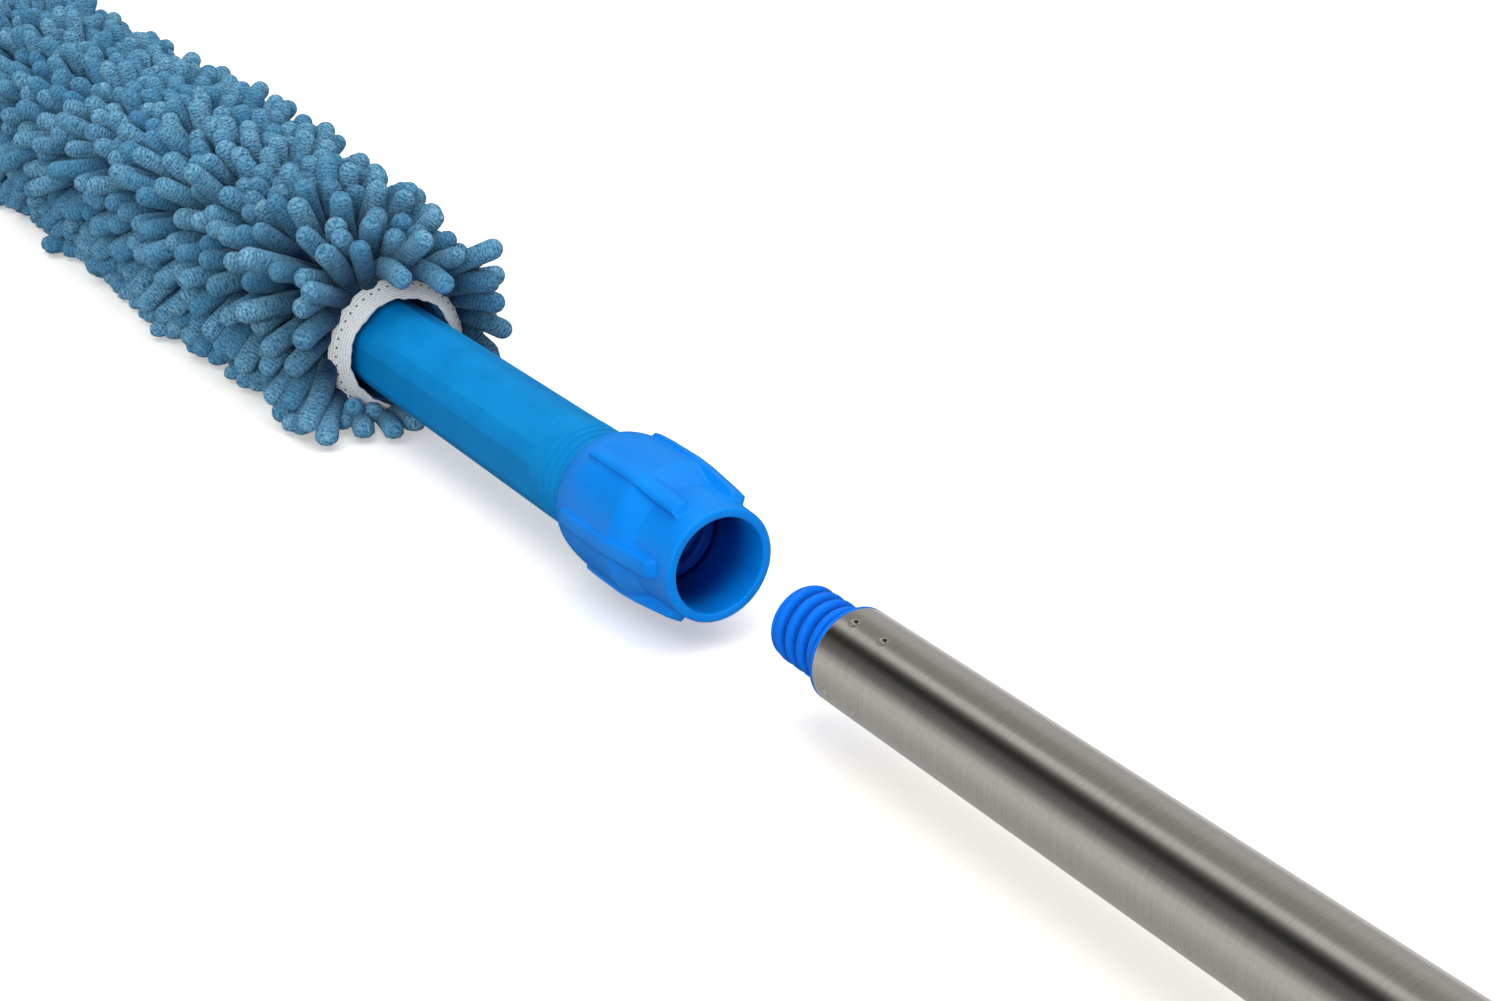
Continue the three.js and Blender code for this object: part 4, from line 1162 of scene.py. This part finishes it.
# Below the press height, the height of a point eases off towards the floor and stays above it.
x, y, z = add(tree, "ShaderNodeSeparateXYZ", {
    "Vector": add(tree, "GeometryNodeInputPosition").outputs[0]}).outputs
share = maths(tree, "DIVIDE", maths(tree, "SUBTRACT", z, press), press)
pressed = maths(tree, "MULTIPLY", maths(tree, "EXPONENT", share), press)
height = add(tree, "ShaderNodeMix", {
    "Factor": maths(tree, "LESS_THAN", z, press), "A": z, "B": pressed}, data_type="FLOAT")
rebuilt = add(tree, "ShaderNodeCombineXYZ", {"X": x, "Y": y, "Z": height.outputs[0]})
moved = add(tree, "GeometryNodeSetPosition", {
    "Geometry": swept.outputs[0], "Position": rebuilt.outputs[0]})
hand_out(tree, moved.outputs[0], given["Material"])

# %% The pile, one piece for each slice of the CAD
SLICE_FRONT, SLICE_PITCH, SLICE_COUNT = -197.3, 113.75, 4


def pile_piece(number, chosen):
    """One length of pile, standing for one CAD slice."""
    count, steps = curves[chosen].shape[:2]
    points = curves[chosen].reshape(-1, 3) * MM
    points += np.array((mouth_x, 0, axis_z))
    starts = (np.arange(count) * steps)[:, None] + np.arange(steps - 1)[None, :]
    edges = np.stack([starts, starts + 1], -1).reshape(-1, 2)
    mesh = bpy.data.meshes.new(f"chains_{number}")
    mesh.from_pydata(points.tolist(), edges.tolist(), [])
    carry(mesh, "girth", (finger_size[chosen][:, None] * GIRTHS[None, :]).ravel() * MM)
    carry(mesh, "along", alongs[chosen].ravel() * MM)
    carry(mesh, "tint", np.repeat(finger_tint[chosen], steps))
    made = run_tree(f"pile_{number}", mesh, fingers_tree, Sides=FINGER_SIDES,
                    Press=PRESS_MM * MM, Material=chenille)
    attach(made, "cover")
    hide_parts(f"chenille_{number}")
    return made


slice_of = ((SLICE_FRONT - roots[:, 0]) // SLICE_PITCH).astype(int)
slice_of = np.clip(slice_of, 0, SLICE_COUNT - 1)
piles = [pile_piece(k + 1, slice_of == k) for k in range(SLICE_COUNT)]

# %% [markdown]
# ## The lining and the elastic mouth
# Under the pile is a knitted tube, closed by a dome at the far end. Its mouth is a strip of
# elastic, folded over and sewn with a row of small stitches. The elastic has pulled the knit
# together, so the inner edge waves and the outer edge shows the ends of the ribs.

# %% Lining
LINING_MOUTH, LINING_WALL = -197.2, SLEEVE - LINING
dome_out = quarter_round(DOME_BASE, DOME_TIP, 0, SLEEVE, DOME_POINTS)
dome_in = quarter_round(DOME_BASE, DOME_TIP + LINING_WALL, 0, LINING, DOME_POINTS)
lining_outline = rounded([
    *dome_out, (LINING_MOUTH, SLEEVE, 0.5), (LINING_MOUTH, LINING, 0.5), *dome_in[::-1]])
lining = turned("lining", finer(lining_outline, 12, closed=False), 72, None, knit, "cover",
                slot="chenille")

# %% Elastic mouth
BAND_FRONT, BAND_BACK, BAND_IN, BAND_OUT = -190.1, -197.0, 18.1, 24.5
BAND_COLUMNS, TEETH, TOOTH, KNIT_RIB_MM = 720, 180, 0.14, 0.6
OUTER_EDGE, OUTER_DRAW, INNER_EDGE, INNER_RUN = 22.9, 0.25, 20.5, 2.5
# Each wave of the inner edge: its height, how often it comes round, how far it is shifted
# to and fro, and how often that comes round.
WAVES = ((0.3, 5, 1.2, 2), (0.2, 13, 1.5, 3), (0.1, 31, 0, 1))


def band_shape(stations, radii, angles):
    """Serrates the outer edge of the band and lets its inner edge wave."""
    out = smooth_step(radii - OUTER_EDGE)
    inward = smooth_step((INNER_EDGE - radii) / INNER_RUN)
    teeth = TOOTH * np.sin(angles * TEETH) * out
    waves = sum(height * np.sin(angles * count + shift * np.sin(angles * slow))
                for height, count, shift, slow in WAVES)
    return radii + teeth + waves * inward - OUTER_DRAW * out


band_outline = rounded([
    (BAND_BACK, 22.6, 0.4), (-196.2, BAND_OUT, 0.35), (-194.6, 23.2, 1.2), (-193.9, 22.4, 0.8),
    (-191.7, 20.6, 1.2), (BAND_FRONT, 18.9, 0.8), (-190.6, BAND_IN, 0.6),
    (-192.6, BAND_IN + 0.6, 1.0), (BAND_BACK, 19.6, 0.8)])
elastic_mouth = turned("elastic_mouth", finer(band_outline, 0.5), BAND_COLUMNS, band_shape,
                       elastic, "cover", node="elastic_band", slot="elastic")
x, y, z = point_places(elastic_mouth.data)
carry(elastic_mouth.data, "across", np.hypot(y, z - axis_z) / (KNIT_RIB_MM * MM) * FULL_TURN)

# %% Stitches
STITCHES, STITCH_STATION, STITCH_RADIUS, THREAD_RADIUS = 46, -193.75, 22.3, 0.34
stitch_tree, given = new_tree("mouth_stitches", Count="Int", Radius="Float", Thread="Float",
                              Place="Vector", Material="Material")
tree = stitch_tree
ring = add(tree, "GeometryNodeCurvePrimitiveCircle", {
    "Resolution": given["Count"], "Radius": given["Radius"]})
stitch = add(tree, "GeometryNodeMeshUVSphere", {
    "Segments": 8, "Rings": 6, "Radius": given["Thread"]})
facing = add(tree, "FunctionNodeAlignRotationToVector", {
    "Vector": add(tree, "GeometryNodeInputTangent").outputs[0]}, axis="X")
sewn = add(tree, "GeometryNodeInstanceOnPoints", {
    "Points": ring.outputs[0], "Instance": stitch.outputs[0],
    "Rotation": facing.outputs[0], "Scale": (1.5, 1.0, 0.7)})
upright = add(tree, "GeometryNodeTransform", {
    "Geometry": sewn.outputs[0], "Translation": given["Place"],
    "Rotation": (0, math.pi / 2, 0)})
hand_out(tree, upright.outputs[0], given["Material"])
mouth_stitches = run_tree(
    "mouth_stitches", bpy.data.meshes.new("start"), stitch_tree, Count=STITCHES,
    Radius=STITCH_RADIUS * MM, Thread=THREAD_RADIUS * MM, Place=tuple(spot(STITCH_STATION)),
    Material=thread)
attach(mouth_stitches, "cover")

# %% [markdown]
# ## The studio
# The photograph was lit from above on a white sweep. The lamps leave the floor out: the sky
# lights it, and the camera sees it brighter than that, so that it stays white and the shadows
# stay soft and pale. What makes steel look like steel is what it mirrors: the floor, which
# mirrors see as a painted glow, darker at the foot of the object as a painted shadow, and a
# curved wall that only mirrors see. The glow of the wall changes with the angle round the axis,
# as soft boxes and flags would make it: a bright stretch overhead draws the long line along the
# tube, and a black one in front of it draws the dark band.

# %% Floor
FLOOR_HALF, OWN_GLOW, GLOW_SHARE, CAMERA_GAIN = 6.0, 2.05, 0.21, 0.7
# What mirrors see of the floor is a painted glow with a painted shadow: its glow at the
# object's foot and away from it, and between which distances from the axis it changes.
FOOT_SHADE = (0.46, 0.8, 0.0, 0.08)
WHITE = linear("#ffffff")
floor_mesh = bpy.data.meshes.new("studio_floor")
floor_mesh.from_pydata([
    (x * FLOOR_HALF, y * FLOOR_HALF, 0) for x, y in ((-1, -1), (1, -1), (1, 1), (-1, 1))],
    [], [(0, 1, 2, 3)])
floor = placed("studio_floor", floor_mesh)
paper, tree = new_material("paper_sweep_white")
floor_mesh.materials.append(paper)
seen = add(tree, "ShaderNodeLightPath").outputs
by_camera = seen["Is Camera Ray"]
tone = blend_colours(tree, by_camera, "#cccccc", "#fffbf0", 0.0, 1.0)
matt = add(tree, "ShaderNodeBsdfDiffuse", {"Color": tone}).outputs[0]
glow = add(tree, "ShaderNodeEmission", {"Color": WHITE, "Strength": OWN_GLOW}).outputs[0]
lit = add(tree, "ShaderNodeMixShader", {
    0: maths(tree, "MULTIPLY", by_camera, GLOW_SHARE), 1: matt, 2: glow})
more = add(tree, "ShaderNodeMixShader", {
    0: maths(tree, "MULTIPLY", by_camera, CAMERA_GAIN), 2: matt})
lit = add(tree, "ShaderNodeAddShader", {0: lit.outputs[0], 1: more.outputs[0]})
away = add(tree, "ShaderNodeSeparateXYZ", {"Vector": coordinates(tree)}).outputs["Y"]
shaded = ranged(tree, maths(tree, "ABSOLUTE", away), *FOOT_SHADE)
mirrored = add(tree, "ShaderNodeEmission", {"Color": WHITE, "Strength": shaded})
in_mirror = maths(tree, "MAXIMUM", seen["Is Glossy Ray"], seen["Is Transmission Ray"])
both = add(tree, "ShaderNodeMixShader", {
    0: in_mirror, 1: lit.outputs[0], 2: mirrored.outputs[0]})
add(tree, "ShaderNodeOutputMaterial", {"Surface": both.outputs[0]})
print("floor:", 2 * FLOOR_HALF, "m square, in", paper.name)

# %% World
DOME_FALL, DOME_LOW, DOME_HIGH = 4.2, 0.2, 1.65
world = bpy.data.worlds.new("studio_world")
world.use_nodes = True
tree = world.node_tree
tree.nodes.clear()
seen = add(tree, "ShaderNodeLightPath").outputs
shows = maths(tree, "MAXIMUM", seen["Is Camera Ray"], seen["Is Glossy Ray"])
shows = maths(tree, "MAXIMUM", shows, seen["Is Transmission Ray"])
way = add(tree, "ShaderNodeSeparateXYZ", {"Vector": coordinates(tree, "Generated")})
upward = add(tree, "ShaderNodeClamp", {"Value": way.outputs["Z"]}).outputs[0]
dome = ranged(tree, maths(tree, "POWER", upward, DOME_FALL), DOME_LOW, DOME_HIGH)
level = add(tree, "ShaderNodeMix", {"Factor": shows, "A": dome, "B": 1.0}, data_type="FLOAT")
sky = add(tree, "ShaderNodeBackground", {"Color": WHITE, "Strength": level.outputs[0]})
add(tree, "ShaderNodeOutputWorld", {"Surface": sky.outputs[0]})
bpy.context.scene.world = world
print("sky: from", DOME_LOW, "at the horizon to", DOME_HIGH, "overhead")

# %% Lamps, which light everything but the floor
LAMPS_AIM = Vector((-0.1, 0.0, 0.0))
LAMPS = {
    "key_soft_box": ((0.0, 0.55, 1.3), (1.5, 0.7), 6.5),
    "fill_soft_box": ((1.2, -1.0, 0.68), (1.2, 0.9), 23),
}
unlit = bpy.data.collections.new("not_lit_by_lamps")
unlit.objects.link(floor)
unlit.collection_objects[0].light_linking.link_state = "EXCLUDE"
for name, (place, size, power) in LAMPS.items():
    data = bpy.data.lights.new(name, "AREA")
    data.shape, data.size, data.size_y, data.energy = "RECTANGLE", *size, power
    lamp = placed(name, data)
    lamp.location = place
    lamp.rotation_euler = (LAMPS_AIM - Vector(place)).to_track_quat("-Z", "Y").to_euler()
    lamp.visible_glossy = False
    lamp.light_linking.receiver_collection = unlit
print("lamps:", list(LAMPS))

# %% Wall that the mirrors see
WALL_DISTANCE, WALL_HALF = 1.6, 4.0
# Angles round the axis from straight up towards the front, each with its glow.
WALL_GLOW = ((-95, 0.5), (-63, 0.62), (-47, 0.56), (-34, 0.4), (-21, 0.36), (-10, 0.36),
             (-4, 0.45), (-2, 0.86), (12, 0.8), (17, 0.3), (23, 0.07), (33, 0.0), (43, 0.05),
             (50, 0.16), (60, 0.18), (69, 0.26), (79, 0.58), (88, 0.62))

corners, glows = [], []
for degrees, strength in WALL_GLOW:
    turn = math.radians(degrees)
    for side in (-WALL_HALF, WALL_HALF):
        corners.append((side, -WALL_DISTANCE * math.sin(turn),
                        axis_z + WALL_DISTANCE * math.cos(turn)))
        glows.append(strength)
wall_mesh = bpy.data.meshes.new("mirror_wall")
wall_mesh.from_pydata(corners, [], [
    (2 * i, 2 * i + 1, 2 * i + 3, 2 * i + 2) for i in range(len(WALL_GLOW) - 1)])
carry(wall_mesh, "glow", glows)
material, tree = new_material("mirror_wall")
light = add(tree, "ShaderNodeEmission", {
    "Color": WHITE, "Strength": attribute(tree, "glow")})
add(tree, "ShaderNodeOutputMaterial", {"Surface": light.outputs[0]})
wall_mesh.materials.append(material)
wall = placed("mirror_wall", wall_mesh)
wall.visible_camera = wall.visible_diffuse = wall.visible_shadow = False
wall.visible_transmission = wall.visible_volume_scatter = False
print("mirror wall:", len(WALL_GLOW), "angles,", WALL_DISTANCE, "m away")

# %% [markdown]
# The photograph has no colour grading to speak of, so the standard view is used, and a colour
# renders about as it is written.

# %% View
bpy.context.scene.view_settings.view_transform = "Standard"
